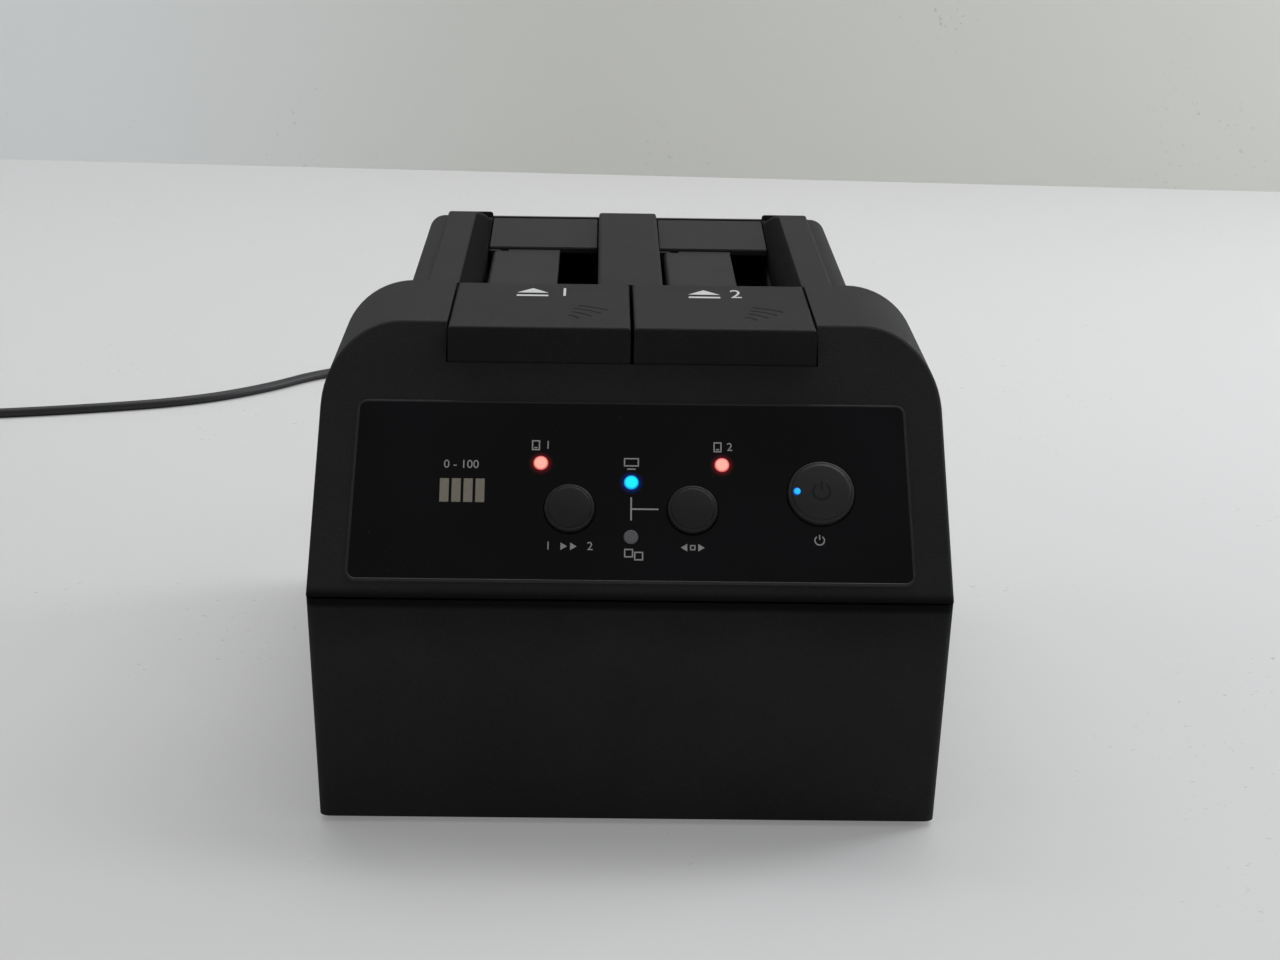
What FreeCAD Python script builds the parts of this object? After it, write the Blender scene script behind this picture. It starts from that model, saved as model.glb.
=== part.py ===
"""Two-bay drive duplicator: a desktop dock that copies one hard drive to another.

Row frame: X to the right, Y from front to back, Z up, origin on the table under the
middle of the housing. All sizes are in millimetres.
"""
import FreeCAD, Part
import math
import os
from FreeCAD import Placement, Rotation, Vector

os.makedirs("parts", exist_ok=True)

# ---------------------------------------------------------------- driving dimensions
# Housing
body_width = 148.0          # across the seam, the widest line of the housing
foot_gap = 1.5              # table to the underside of the tray
seam_z = 55.4               # height of the seam between tray and cover
seam_gap = 0.5              # shadow groove between the two shells
deck_z = 111.2              # top of the front deck
slope_run = 41.5            # how far the sloping face leans back over its height
wall = 2.2                  # wall of both shells
tray_draft = 2.4            # degrees, tray walls lean in downwards
cover_draft = 1.8           # degrees, cover walls lean in upwards
shoulder_radius = 18.4      # big round between cover side and deck
tray_edge_radius = 2.5      # upright corners of the tray
deck_depth = 90.0           # front seam edge to the back of the front deck and the bays' front
terrace_z = 82.0            # top of the wide rear body
terrace_radius = 12.0
block_width = 114.0         # raised block that holds the bays
block_radius = 4.5
block_rear_inset = 1.4      # rear face of the block in front of the rear seam edge
rail_drop = 0.8             # rails below the deck
rail_proud = 1.4            # rails above the block's top
rail_width = 8.0
rail_round = 1.0            # softened edges of the rails
slope_round = 1.0           # softened edge round the sloping face
centre_rail_width = 16.4

# Bays
bay_width = 30.4            # X, takes a 26.1 mm thick drive beside the folded flap
bay_length = 101.8          # Y, takes a 101.6 mm wide drive
bay_wall = 1.6
door_pocket = 2.8           # depth behind the bay into which the rear door folds
lead_in = 4.9               # round on the outer rail's inner edge
pocket_wall = 2.0           # behind the door pocket
slot_length = 70.4          # Y, takes a 69.85 mm wide small drive
slot_width = 10.2           # X, takes a 9.5 mm thick small drive
flap_drop = 4.4             # flap top below the rails
flap_thickness = 1.6
flap_gap = 0.4
door_front_drop = 3.7       # door's front edge below the rails
door_rear_drop = 1.5
hinge_barrel_radius = 1.3
hinge_pin_radius = 0.6
hinge_clearance = 0.08
hinge_offset = 2.6          # flap hinge axis from the bay wall
rim_depth = 10.0            # bay rim moulded on the cover, below the rails
sill_z = 106.4              # low wall between the eject buttons and the bays
well_floor_z = 36.0
well_floor = 1.6
drive_seat_z = 41.0         # top of the ledges that carry a drive
tab_z = 92.0                # screw tabs of the wells, under the centre rail
tab_thickness = 2.4
tab_radius = 4.0

# Eject buttons and levers
eject_front_height = 8.4    # visible front face of an eject button
eject_skirt = 12.0          # full height of an eject button's skirt
eject_clearance = 0.4
eject_round = 0.9
eject_wall = 2.0
stem_radius = 4.0
stem_clearance = 0.1
stem_point_radius = 1.5     # tapered end that presses the lever
stem_point_height = 3.0
shelf_z = 80.0
shelf_thickness = 2.4
shelf_post_radius = 3.2
shelf_half = 55.0
shelf_front = 18.0          # shelf's edges in front of the stems and behind them
shelf_back = 24.0
shelf_screw_inset = 5.0     # its screws from its side, front and rear edges
shelf_screw_front = 6.0
shelf_rib_x = 36.0
guide_height = 4.0
collar_radius = 7.0
collar_z = 98.5
spring_radius = 5.7
spring_wire = 0.9
spring_turns = 4
spring_steps = 12
lever_axis_z = 43.0
lever_arm = 15.5            # stem to lever axis
lever_reach = 23.0          # lever axis to the tip under the drive
lever_hub_radius = 3.5
lever_pin_radius = 1.5
lever_width = 6.0
lever_gap = 0.5             # stem's end above the lever at rest
lever_tip_radius = 2.5
lever_ear = 2.6             # thickness of the ears that hold a lever's pin
grip_offset_x = 11.6        # ridges on the key, from its middle
grip_offset_y = -5.0
grip_count = 5
grip_radius = 5.0
grip_pitch = 1.5
grip_height = 0.15
grip_width = 0.5

# Control panel, measured up the slope from the seam edge
panel_bottom = 4.7
panel_top = 48.8
panel_inset = 9.0           # panel's lower corners from the housing's sides
panel_taper = 1.4           # the panel's sides lean in by this up the slope
panel_radius = 2.0
panel_thickness = 1.8
panel_proud = 0.3
panel_ledge = 3.0
panel_clearance = 0.2
control_post_radius = 3.0
led_radius = 1.7
led_side = 21.0             # source and target lights, each side of the middle
led_side_v = 33.6
led_pc_v = 29.0
led_copy_v = 15.5
led_proud = 0.4
copy_button_u = 14.2        # duplicate and mode buttons, each side of the middle
copy_button_v = 22.2
copy_button_radius = 5.8
power_inset = 21.1          # power button's middle from the panel's side
power_v = 26.6
power_button_radius = 7.7
power_light_offset = 5.6
power_light_radius = 1.0
button_proud = 1.6
button_clearance = 0.3
button_travel = 0.8
button_flange = 1.3
bar_count = 4
bars_inset = 21.8           # first bar light from the panel's side
bar_pitch = 2.75
bar_width = 2.1
bar_height = 5.8
bar_v = 26.6
board_depth = 8.0           # slope surface down to the control board
board_thickness = 1.6
ribbon_half = 5.5
board_inset = 9.6           # control board in from the panel's sides
control_screw_inset = 3.5   # control board's posts from its edges

# Boards, ports, fixings
main_board_z = 28.0
board_screw_inset = 5.0     # board posts from the main board's side edges
board_screw_front = 6.0     # board posts from its front and rear edges
board_screw_rear = 26.0
main_board_gap = 2.0        # main board to the case screw bosses
main_board_front = 0.0
board_post_radius = 3.5
chip_half = 4.6             # half width of the chips
chip_row_front = 12.0       # first chip from the board's front edge
chip_gap = 4.0
capacitor_radius = 4.0
capacitor_height = 12.0
connector_width = 6.0
connector_length = 40.0
connector_height = 16.5
port_gap = 0.7              # power jack and data port beside the drive wells
jack_width = 9.0
jack_height = 11.0
jack_length = 14.0
jack_bore = 3.1
port_width = 12.0
port_height = 11.2
port_length = 18.0
screw_radius = 1.5
screw_clearance = 0.1
screw_bite = 0.05           # clearance of a screw in the hole it threads into
screw_head_radius = 2.8
screw_head_height = 2.0
case_boss_radius = 4.0
case_boss_z = 24.0
case_head_z = 14.0
case_screw_inset = 14.0     # case screws from the housing's sides
case_screw_front = 33.0     # and from its front and rear
case_screw_rear = 37.0
foot_radius = 6.0
foot_recess = 1.0
foot_inset_x = 18.0         # feet from the housing's sides, front and rear
foot_inset_y = 15.0
fit_gap = 0.2               # between pieces that seat on each other

# Power lead
lead_diameter = 3.5
plug_radius = 4.6
plug_length = 17.0
relief_length = 14.0
coil_radius = 20.7
coil_half_width = 7.6
coil_height = 7.4
coil_round = 1.6
adapter_size = (44.0, 60.0, 28.0)
adapter_relief_length = 17.5
blade_length = 15.0

# ---------------------------------------------------------------- derived places
body_depth = deck_depth + bay_length + door_pocket + pocket_wall + block_rear_inset
front_y = -body_depth / 2
rear_y = body_depth / 2
deck_rear_y = front_y + deck_depth
rail_z = deck_z - rail_drop
block_z = rail_z - rail_proud
block_rear_y = rear_y - block_rear_inset
slope_angle = math.degrees(math.atan2(deck_z - seam_z, slope_run))
slope_sin = math.sin(math.radians(slope_angle))
slope_cos = math.cos(math.radians(slope_angle))
bay_front_y = deck_rear_y
pocket_end_y = deck_rear_y - bay_wall
bay_rear_y = bay_front_y + bay_length
pocket_rear_y = bay_rear_y + door_pocket
centre_half = centre_rail_width / 2
bay_inner = centre_half + 0.1
bay_outer = bay_inner + bay_width
rail_inner = bay_outer + lead_in
rail_outer = rail_inner + rail_width
rim_z = rail_z - rim_depth
slot_rear_y = bay_front_y + slot_length
panel_bottom_half = body_width / 2 - panel_inset
panel_top_half = panel_bottom_half - panel_taper
power_u = panel_bottom_half - power_inset
bar_first_u = bars_inset - panel_bottom_half
case_screw_x = body_width / 2 - case_screw_inset
foot_x = body_width / 2 - foot_inset_x
foot_y = body_depth / 2 - foot_inset_y
port_x = bay_outer + bay_wall + port_gap + port_width / 2
main_board_half = case_screw_x - case_boss_radius - main_board_gap
main_board_rear = rear_y - 6.0
board_half = panel_top_half - board_inset
board_low_v = panel_bottom + 4.0
board_high_v = panel_top - 3.0
sides = {"source": -1, "target": 1}
bay_left = {"source": -bay_outer, "target": bay_inner}


# ---------------------------------------------------------------- small builders
def box(x, y, z):
    """A box from three (low, high) pairs."""
    return Part.makeBox(x[1] - x[0], y[1] - y[0], z[1] - z[0], Vector(x[0], y[0], z[0]))


def rod(radius, start, end):
    """A round rod between two points."""
    along = Vector(*end) - Vector(*start)
    return Part.makeCylinder(radius, along.Length, Vector(*start), along)


def prism(points, along):
    """A closed outline of points, pushed along a vector."""
    corners = [Vector(*p) for p in points]
    face = Part.Face(Part.makePolygon(corners + corners[:1]))
    return face.extrude(Vector(*along))


def fuse(shapes):
    """One solid from touching shapes."""
    whole = shapes[0]
    for shape in shapes[1:]:
        whole = whole.fuse(shape)
    return whole.removeSplitter()


def cut(shape, tools):
    """The shape without the tools."""
    for tool in tools:
        shape = shape.cut(tool)
    return shape


def edges_at(shape, height):
    """The shape's level edges at a height."""
    level = [e for e in shape.Edges if e.BoundBox.ZLength < 0.01]
    return [e for e in level if abs(e.BoundBox.ZMin - height) < 0.01]


def save(name, *shapes):
    """Writes one sub-part, as a single solid or as a group of separate solids."""
    solids = [solid for shape in shapes for solid in shape.Solids]
    whole = solids[0] if len(solids) == 1 else Part.makeCompound(solids)
    whole.exportStep(f"parts/{name}.step")


def on_slope(shape):
    """Moves a shape from slope axes (u across, v up the slope, w outward) to the row frame."""
    lean = Rotation(Vector(1, 0, 0), slope_angle)
    placed = shape.copy()
    placed.Placement = Placement(Vector(0, front_y, seam_z), lean).multiply(placed.Placement)
    return placed


def slope_rod(radius, u, v, low, high):
    """A rod square to the slope between two depths."""
    return rod(radius, (u, v, low), (u, v, high))


def arc_corner(corner, before, after, radius):
    """Tangent points and middle of a round that replaces a corner of an outline."""
    to_before = (before - corner).normalize()
    to_after = (after - corner).normalize()
    half = to_before.getAngle(to_after) / 2
    bisector = (to_before + to_after).normalize()
    reach = radius / math.tan(half)
    centre = corner + bisector * (radius / math.sin(half))
    middle = centre - bisector * radius
    return corner + to_before * reach, middle, corner + to_after * reach


def rounded_outline(points, radii):
    """A closed wire through points, each corner rounded by its own radius (0 is sharp)."""
    count = len(points)
    corners = []
    for i, radius in enumerate(radii):
        here = Vector(*points[i])
        if radius > 0:
            before = Vector(*points[i - 1])
            after = Vector(*points[(i + 1) % count])
            corners.append(arc_corner(here, before, after, radius))
        else:
            corners.append((here, None, here))
    edges = []
    for i, (start, middle, end) in enumerate(corners):
        if middle is not None:
            edges.append(Part.Arc(start, middle, end).toShape())
        following = corners[(i + 1) % count][0]
        if end.distanceToPoint(following) > 1e-6:
            edges.append(Part.LineSegment(end, following).toShape())
    return Part.Wire(edges)


def rounded_prism(points, radii, along):
    """A closed outline with rounded corners, pushed along a vector."""
    return Part.Face(rounded_outline(points, radii)).extrude(Vector(*along))


# ---------------------------------------------------------------- housing forms
def drafted_half(z, inset):
    """Half width of the cover's side at a height."""
    lean = (z - seam_z) * math.tan(math.radians(cover_draft))
    return body_width / 2 - inset - lean


def cross_section(low, top, radius, y0, y1, inset):
    """The cover's X-Z outline with round shoulders, from y0 to y1."""
    points = [
        (-drafted_half(low, inset), y0, low),
        (drafted_half(low, inset), y0, low),
        (drafted_half(top, inset), y0, top),
        (-drafted_half(top, inset), y0, top),
    ]
    return rounded_prism(points, [0, 0, radius, radius], (0, y1 - y0, 0))


def side_outline(low, inset):
    """The Y-Z outline that leans the front face and drafts the rear face."""
    front = front_y + inset / slope_sin
    lean = (deck_z - seam_z) / slope_run
    top = deck_z + 10.0
    draft = math.tan(math.radians(cover_draft))
    rear = rear_y - inset
    points = [
        (-body_width, front + (low - seam_z) / lean, low),
        (-body_width, front + (top - seam_z) / lean, top),
        (-body_width, rear - (top - seam_z) * draft, top),
        (-body_width, rear - (low - seam_z) * draft, low),
    ]
    return prism(points, (2 * body_width, 0, 0))


def cover_form(inset):
    """The cover's outside at inset 0, and its cavity at the wall's thickness."""
    low = seam_z + seam_gap / 2 if inset == 0 else seam_z - 1.0
    join = deck_rear_y - 20.0
    deck = cross_section(low, deck_z - inset, shoulder_radius - inset, front_y, deck_rear_y - inset, inset)
    terrace = cross_section(low, terrace_z - inset, terrace_radius - inset, join, rear_y, inset)
    half = block_width / 2 - inset
    top = block_z - inset
    rear = block_rear_y - inset
    corners = [(-half, join, low), (half, join, low), (half, join, top), (-half, join, top)]
    radius = block_radius - inset
    block = rounded_prism(corners, [0, 0, radius, radius], (0, rear - join, 0))
    form = fuse([deck, terrace, block]).common(side_outline(low, inset))
    if inset > 0:
        return form
    return form.makeFillet(slope_round, slope_edges(form))


def slope_edges(form):
    """The edges round the sloping face, apart from the one along the seam."""
    out = Vector(0, -slope_sin, slope_cos)
    foot = Vector(0, front_y, seam_z)
    found = []
    for edge in form.Edges:
        level = [abs((vertex.Point - foot).dot(out)) < 0.01 for vertex in edge.Vertexes]
        if all(level) and edge.BoundBox.ZMax > seam_z + 5.0:
            found.append(edge)
    return found


def rails():
    """Three raised rails that run along the bays, with softened edges and rear ends."""
    base = block_z - 1.0
    y0 = deck_rear_y - 1.0
    y1 = block_rear_y - 0.6
    spans = [(-rail_outer, -bay_outer), (-centre_half, centre_half), (bay_outer, rail_outer)]
    x0 = -body_width
    profile = [(x0, y0, base), (x0, y1, base), (x0, y1, rail_z), (x0, y0, rail_z)]
    length = rounded_prism(profile, [0, 0, rail_round, 0], (2 * body_width, 0, 0))
    made = []
    for low, high in spans:
        points = [(low, y0, base), (high, y0, base), (high, y0, rail_z), (low, y0, rail_z)]
        rail = rounded_prism(points, [0, 0, rail_round, rail_round], (0, y1 - y0, 0))
        made.append(rail.common(length))
    return made


def bay_rim(side):
    """Thick rim round one bay opening, inside the cover's top."""
    left = bay_left[side]
    outward = lead_in + bay_wall
    low = left - (outward if side == "source" else bay_wall)
    high = left + bay_width + (outward if side == "target" else bay_wall)
    return box((low, high), (bay_front_y - bay_wall, block_rear_y - wall / 2), (rim_z, block_z - 0.5))


def bay_opening(side):
    """Everything that one bay takes out of the cover's top."""
    left = bay_left[side]
    sign = sides[side]
    shaft = box((left, left + bay_width), (bay_front_y, pocket_rear_y), (rim_z - 20.0, deck_z + 5.0))
    span = sorted((sign * (bay_outer - 1.0), sign * rail_inner))
    depth = (bay_front_y, pocket_rear_y)
    corner = box(span, depth, (rail_z - lead_in, deck_z + 5.0))
    axis = (sign * rail_inner, rail_z - lead_in)
    round_edge = rod(lead_in, (axis[0], depth[0], axis[1]), (axis[0], depth[1], axis[1]))
    funnel = corner.cut(round_edge)
    x_low = sign * (bay_outer - 2.0)
    door_front = rail_z - door_front_drop
    door_rear = rail_z - door_rear_drop
    fill = [
        (x_low, slot_rear_y + flap_gap, 0.0),
        (x_low, slot_rear_y + flap_gap, door_front),
        (x_low, pocket_rear_y, door_rear),
        (x_low, pocket_rear_y, 0.0),
    ]
    kept = prism(fill, (sign * (lead_in + 4.0), 0, 0))
    return [shaft, funnel.cut(kept)]


# ---------------------------------------------------------------- shells
def tray_section(z, inset):
    """The tray's outline at a height, as a wire with rounded corners."""
    lean = (seam_z - z) * math.tan(math.radians(tray_draft))
    half = body_width / 2 - lean - inset
    front = front_y + lean + inset
    rear = rear_y - lean - inset
    points = [(-half, front, z), (half, front, z), (half, rear, z), (-half, rear, z)]
    radius = max(tray_edge_radius - inset, 0.4)
    return rounded_outline(points, [radius] * 4)


def tray_form(low, high, inset):
    """The tray's outside or cavity between two heights."""
    return Part.makeLoft([tray_section(low, inset), tray_section(high, inset)], True)


def base_tray():
    """Lower shell with bosses, board posts, foot recesses, vents and port holes."""
    top = seam_z - seam_gap / 2
    outside = tray_form(foot_gap, top, 0)
    cavity = tray_form(foot_gap + wall, top + 1.0, wall)
    tray = outside.cut(cavity)
    floor = foot_gap + wall / 2
    additions = []
    for x, y in case_screw_places():
        additions.append(rod(case_boss_radius, (x, y, floor), (x, y, case_boss_z)))
    for x, y in board_posts():
        additions.append(rod(board_post_radius, (x, y, floor), (x, y, main_board_z)))
    lip = tray_form(seam_z - 6.0, seam_z + 2.0, wall - 0.1)
    lip = lip.cut(tray_form(seam_z - 7.0, seam_z + 3.0, wall + 1.0))
    behind_slope = box((-body_width, body_width), (front_y + 12.0, rear_y), (seam_z - 7.0, seam_z + 3.0))
    lip_body = lip.common(behind_slope)
    cover_side = tray_form(top, seam_z + 4.0, 0).cut(cover_form(wall + fit_gap))
    additions.append(lip_body.cut(cover_side))
    tray = fuse([tray] + additions)
    tools = []
    for x, y in case_screw_places():
        tools.append(rod(screw_radius + screw_clearance, (x, y, 0), (x, y, case_boss_z + 1)))
        tools.append(rod(screw_head_radius + 0.3, (x, y, 0), (x, y, case_head_z)))
    for x, y in board_posts():
        tools.append(rod(screw_radius + screw_bite, (x, y, main_board_z - 9.0), (x, y, main_board_z + 1)))
    for x, y in foot_places():
        tools.append(rod(foot_radius + fit_gap, (x, y, 0), (x, y, foot_gap + foot_recess)))
    tools += floor_vents()
    tools += port_holes()
    return cut(tray, tools)


def case_screw_places():
    """Places of the four screws that hold the shells together."""
    rows = (front_y + case_screw_front, rear_y - case_screw_rear)
    return [(x, y) for x in (-case_screw_x, case_screw_x) for y in rows]


def board_posts():
    """Screw places of the main board."""
    side_x = main_board_half - board_screw_inset
    rows = (main_board_front + board_screw_front, main_board_rear - board_screw_rear)
    return [(x, y) for x in (-side_x, side_x) for y in rows]


def foot_places():
    """Centres of the four feet."""
    return [(x, y) for x in (-foot_x, foot_x) for y in (-foot_y, foot_y)]


def floor_vents():
    """Two rows of cooling slots in the tray's floor."""
    slots = []
    for row in (-22.0, 22.0):
        for i in range(7):
            y = -30.0 + 10.0 * i
            half = 14.0
            centre_box = box((row - half, row + half), (y - 1.25, y + 1.25), (0, foot_gap + wall + 1))
            slots.append(centre_box)
    return slots


def port_centre_z(height):
    """Middle height of a port that stands on the main board."""
    return main_board_z + board_thickness + height / 2


def port_holes():
    """Openings in the tray's rear wall for the power jack and the data port."""
    jack_z = port_centre_z(jack_height)
    inside = rear_y - 8.0
    outside = rear_y + 5.0
    jack = rod(jack_bore + 1.2, (-port_x, inside, jack_z), (-port_x, outside, jack_z))
    half = port_width / 2 + fit_gap
    port_z = main_board_z + board_thickness
    port_span = (port_z - fit_gap, port_z + port_height + fit_gap)
    port = box((port_x - half, port_x + half), (inside, outside), port_span)
    return [jack, port]


def top_cover():
    """Upper shell: sloping face, deck, shoulders, bay block, rails and bay rims."""
    shell = cover_form(0).cut(cover_form(wall))
    rear_lean = side_outline(seam_z + seam_gap / 2, 0)
    body = [shell] + [rail.common(rear_lean) for rail in rails()]
    inner = cover_form(wall / 2)
    body += [bay_rim(side).common(inner) for side in sides]
    body.append(panel_seat().common(inner))
    for x, y in case_screw_places():
        post = rod(case_boss_radius, (x, y, case_boss_z), (x, y, deck_z))
        below = rod(case_boss_radius, (x, y, case_boss_z), (x, y, seam_z))
        body.append(post.common(inner).fuse(below))
    for x, y in shelf_posts():
        body.append(rod(shelf_post_radius, (x, y, shelf_z + shelf_thickness), (x, y, deck_z)).common(inner))
    for y in tab_places("source") + tab_places("target"):
        body.append(rod(tab_radius, (0, y, tab_z + tab_thickness), (0, y, rail_z)).common(inner))
    cover = fuse(body)
    tools = [tool for side in sides for tool in bay_opening(side)]
    pocket_half = eject_half_span() + eject_clearance
    pocket_y = (eject_front_y() - eject_clearance, pocket_end_y)
    tools.append(box((-pocket_half, pocket_half), pocket_y, (deck_z - 30.0, deck_z + 1.0)))
    sill_y = (pocket_end_y - 1.0, bay_front_y + 1.0)
    tools.append(box((-pocket_half, pocket_half), sill_y, (sill_z, deck_z + 1.0)))
    seat_w = panel_proud - panel_thickness
    tools.append(on_slope(panel_plate(panel_clearance, seat_w, 5.0)))
    for u, v in panel_windows():
        tools.append(on_slope(box(u, v, (seat_w - wall - 1.0, 1.0))))
    for x, y in case_screw_places():
        tools.append(rod(screw_radius + screw_bite, (x, y, case_boss_z - 1), (x, y, case_boss_z + 12.0)))
    for x, y in shelf_posts():
        hole_z = shelf_z + shelf_thickness
        tools.append(rod(screw_radius + screw_bite, (x, y, hole_z - 1), (x, y, hole_z + 8.0)))
    for y in tab_places("source") + tab_places("target"):
        hole_z = tab_z + tab_thickness
        tools.append(rod(screw_radius + screw_bite, (0, y, hole_z - 1), (0, y, hole_z + 7.0)))
    for u, v in control_screw_places():
        hole = slope_rod(screw_radius + screw_bite, u, v, -board_depth - 1.0, -board_depth + 4.5)
        tools.append(on_slope(hole))
    tools += [flap_pin(side, hinge_pin_radius + 0.05) for side in sides]
    tools += [door_pin(side, hinge_pin_radius + 0.05) for side in sides]
    cover = cut(cover, tools)
    return fuse([cover] + [flap_lug(side) for side in sides])


def panel_windows():
    """Windows behind the panel: round the bars, the lights and copy buttons, and the power button."""
    room = button_flange + button_clearance
    bars = bar_places()
    bar_u = (bars[0] - bar_width, bars[-1] + bar_width)
    bar_room = (bar_v - bar_height / 2 - 1.0, bar_v + bar_height / 2 + 1.0)
    middle_u = (-led_side - led_radius - 2.0, led_side + led_radius + 2.0)
    middle_v = (led_copy_v - led_radius - 2.0, led_side_v + led_radius + 2.0)
    power = power_button_radius + room
    power_window = ((power_u - power, power_u + power), (power_v - power, power_v + power))
    return [(bar_u, bar_room), (middle_u, middle_v), power_window]


def panel_seat():
    """Thicker wall behind the panel, with the control board's posts."""
    seat_w = panel_proud - panel_thickness
    seat = panel_plate(panel_ledge, seat_w - wall, seat_w + 0.5)
    posts = [slope_rod(control_post_radius, u, v, -board_depth, seat_w) for u, v in control_screw_places()]
    return on_slope(fuse([seat] + posts))


# ---------------------------------------------------------------- eject parts
def eject_front_y():
    """Front face of the eject buttons: it meets the slope at the notch's foot."""
    up = deck_z - eject_front_height - seam_z
    return front_y + up * slope_run / (deck_z - seam_z) + 0.3


def eject_half_span():
    """Outer side of the eject buttons from the middle."""
    return rail_inner - fit_gap


def eject_centre_x(side):
    """Middle of one eject button."""
    return sides[side] * (eject_half_span() + eject_clearance) / 2


def stem_y():
    """Stem of the eject buttons, behind which the lever turns."""
    return (eject_front_y() + deck_rear_y) / 2


def lever_axis_y():
    """Pivot of the eject levers."""
    return stem_y() + lever_arm


def lever_tip_x(side):
    """Middle of the lever's rear arm, in line with the small drive's slot."""
    return bay_left[side] + bay_width - slot_width / 2


def eject_button(side):
    """Large key with a skirt, a stem with a spring collar and grip ridges."""
    sign = sides[side]
    inner = eject_clearance
    outer = eject_half_span()
    span = sorted((sign * inner, sign * outer))
    y0 = eject_front_y()
    y1 = pocket_end_y - fit_gap
    low = deck_z - eject_skirt
    body = box(span, (y0, y1), (low, deck_z))
    top_edges = [e for e in body.Edges if e.BoundBox.ZMin > deck_z - 0.01]
    body = body.makeFillet(eject_round, top_edges)
    hollow_x = (span[0] + eject_wall, span[1] - eject_wall)
    hollow = box(hollow_x, (y0 + eject_wall, y1 - eject_wall), (low - 1, deck_z - 2.4))
    x = eject_centre_x(side)
    y = stem_y()
    stem_low = lever_axis_z + lever_tip_radius + lever_gap
    point_z = stem_low + stem_point_height
    point = Part.makeCone(stem_point_radius, stem_radius, stem_point_height, Vector(x, y, stem_low))
    stem = rod(stem_radius, (x, y, point_z), (x, y, deck_z - 2.0)).fuse(point)
    collar = rod(collar_radius, (x, y, collar_z), (x, y, collar_z + 1.5))
    parts = [body.cut(hollow), stem, collar]
    for turn in (0, 90):
        rib = box((-0.75, 0.75), (-15.0, 15.0), (collar_z + 1.0, deck_z - 2.0))
        rib.rotate(Vector(0, 0, 0), Vector(0, 0, 1), turn)
        rib.translate(Vector(x, y, 0))
        parts.append(rib)
    return fuse(parts + grip_ridges(x + grip_offset_x, y + grip_offset_y))


def grip_ridges(x, y):
    """Small nested arcs on top of the key."""
    ridges = []
    for i in range(grip_count):
        radius = grip_radius + grip_pitch * i
        start = Vector(x - 6.0, y - 6.0, deck_z - 0.2)
        height = grip_height + 0.2
        ring = Part.makeCylinder(radius + grip_width / 2, height, start, Vector(0, 0, 1), 70)
        hole = Part.makeCylinder(radius - grip_width / 2, height, start, Vector(0, 0, 1), 360)
        ridge = ring.cut(hole)
        ridge.rotate(start, Vector(0, 0, 1), 10)
        ridges.append(ridge)
    return ridges


def shelf_posts():
    """Screw places of the eject shelf, under the deck's shoulders."""
    side_x = shelf_half - shelf_screw_inset
    rows = (stem_y() - shelf_front + shelf_screw_front, stem_y() + shelf_back - shelf_screw_front)
    return [(x, y) for x in (-side_x, side_x) for y in rows]


def eject_shelf():
    """Plate that guides both stems and carries their springs."""
    y_low = stem_y() - shelf_front
    y_high = stem_y() + shelf_back
    plate = box((-shelf_half, shelf_half), (y_low, y_high), (shelf_z, shelf_z + shelf_thickness))
    parts = [plate]
    tools = []
    top = shelf_z + shelf_thickness
    for side in sides:
        x = eject_centre_x(side)
        parts.append(rod(stem_radius + 4.2, (x, stem_y(), shelf_z - 8.0), (x, stem_y(), top)))
        parts.append(rod(stem_radius + 0.9, (x, stem_y(), shelf_z), (x, stem_y(), top + guide_height)))
        tools.append(rod(stem_radius + stem_clearance, (x, stem_y(), shelf_z - 9), (x, stem_y(), top + 9)))
    for x in (-shelf_rib_x, 0.0, shelf_rib_x):
        parts.append(box((x - 1.0, x + 1.0), (y_low, y_high), (shelf_z - 4.0, shelf_z + 0.5)))
    for x, y in shelf_posts():
        tools.append(rod(screw_radius + screw_clearance, (x, y, shelf_z - 1), (x, y, top + 1)))
    return cut(fuse(parts), tools)


def eject_spring(side):
    """Compression spring between the shelf and the button's collar, in short straight runs."""
    low = shelf_z + shelf_thickness + spring_wire / 2 + 0.1
    height = collar_z - low - spring_wire / 2 - 0.1
    count = spring_turns * spring_steps
    points = []
    for i in range(count + 1):
        angle = 2 * math.pi * i / spring_steps
        x = eject_centre_x(side) + spring_radius * math.cos(angle)
        y = stem_y() + spring_radius * math.sin(angle)
        points.append(Vector(x, y, low + height * i / count))
    path = Part.makePolygon(points)
    circle = Part.makeCircle(spring_wire / 2, points[0], points[1] - points[0])
    return path.makePipeShell([Part.Wire(circle)], True, False, 1)


def lever_hub_span(side):
    """X range of a lever's hub."""
    xs = (eject_centre_x(side), lever_tip_x(side))
    return min(xs) - lever_width / 2, max(xs) + lever_width / 2


def eject_lever(side):
    """Bell crank: the stem presses its front arm, its rear arm lifts the drive."""
    axis_y = lever_axis_y()
    low, high = lever_hub_span(side)
    hub = rod(lever_hub_radius, (low, axis_y, lever_axis_z), (high, axis_y, lever_axis_z))
    half = lever_width / 2
    x = eject_centre_x(side)
    tip_y = stem_y()
    front = box((x - half, x + half), (tip_y, axis_y), (lever_axis_z - 2.0, lever_axis_z + 2.0))
    tip = rod(lever_tip_radius, (x - half, tip_y, lever_axis_z), (x + half, tip_y, lever_axis_z))
    arm_low = well_floor_z + 0.6
    arm_high = arm_low + 3.6
    x = lever_tip_x(side)
    reach_y = axis_y + lever_reach
    outline = [
        (x - half, axis_y - 2.0, lever_axis_z - 2.5),
        (x - half, axis_y + 6.0, arm_low),
        (x - half, reach_y, arm_low),
        (x - half, reach_y, arm_high - 1.0),
        (x - half, reach_y - 1.5, arm_high),
        (x - half, axis_y + 8.0, arm_high),
        (x - half, axis_y, lever_axis_z + 3.0),
    ]
    rear = prism(outline, (lever_width, 0, 0))
    bore_radius = lever_pin_radius + hinge_clearance
    bore = rod(bore_radius, (low - 1, axis_y, lever_axis_z), (high + 1, axis_y, lever_axis_z))
    return fuse([hub, front, tip, rear]).cut(bore)


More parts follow.
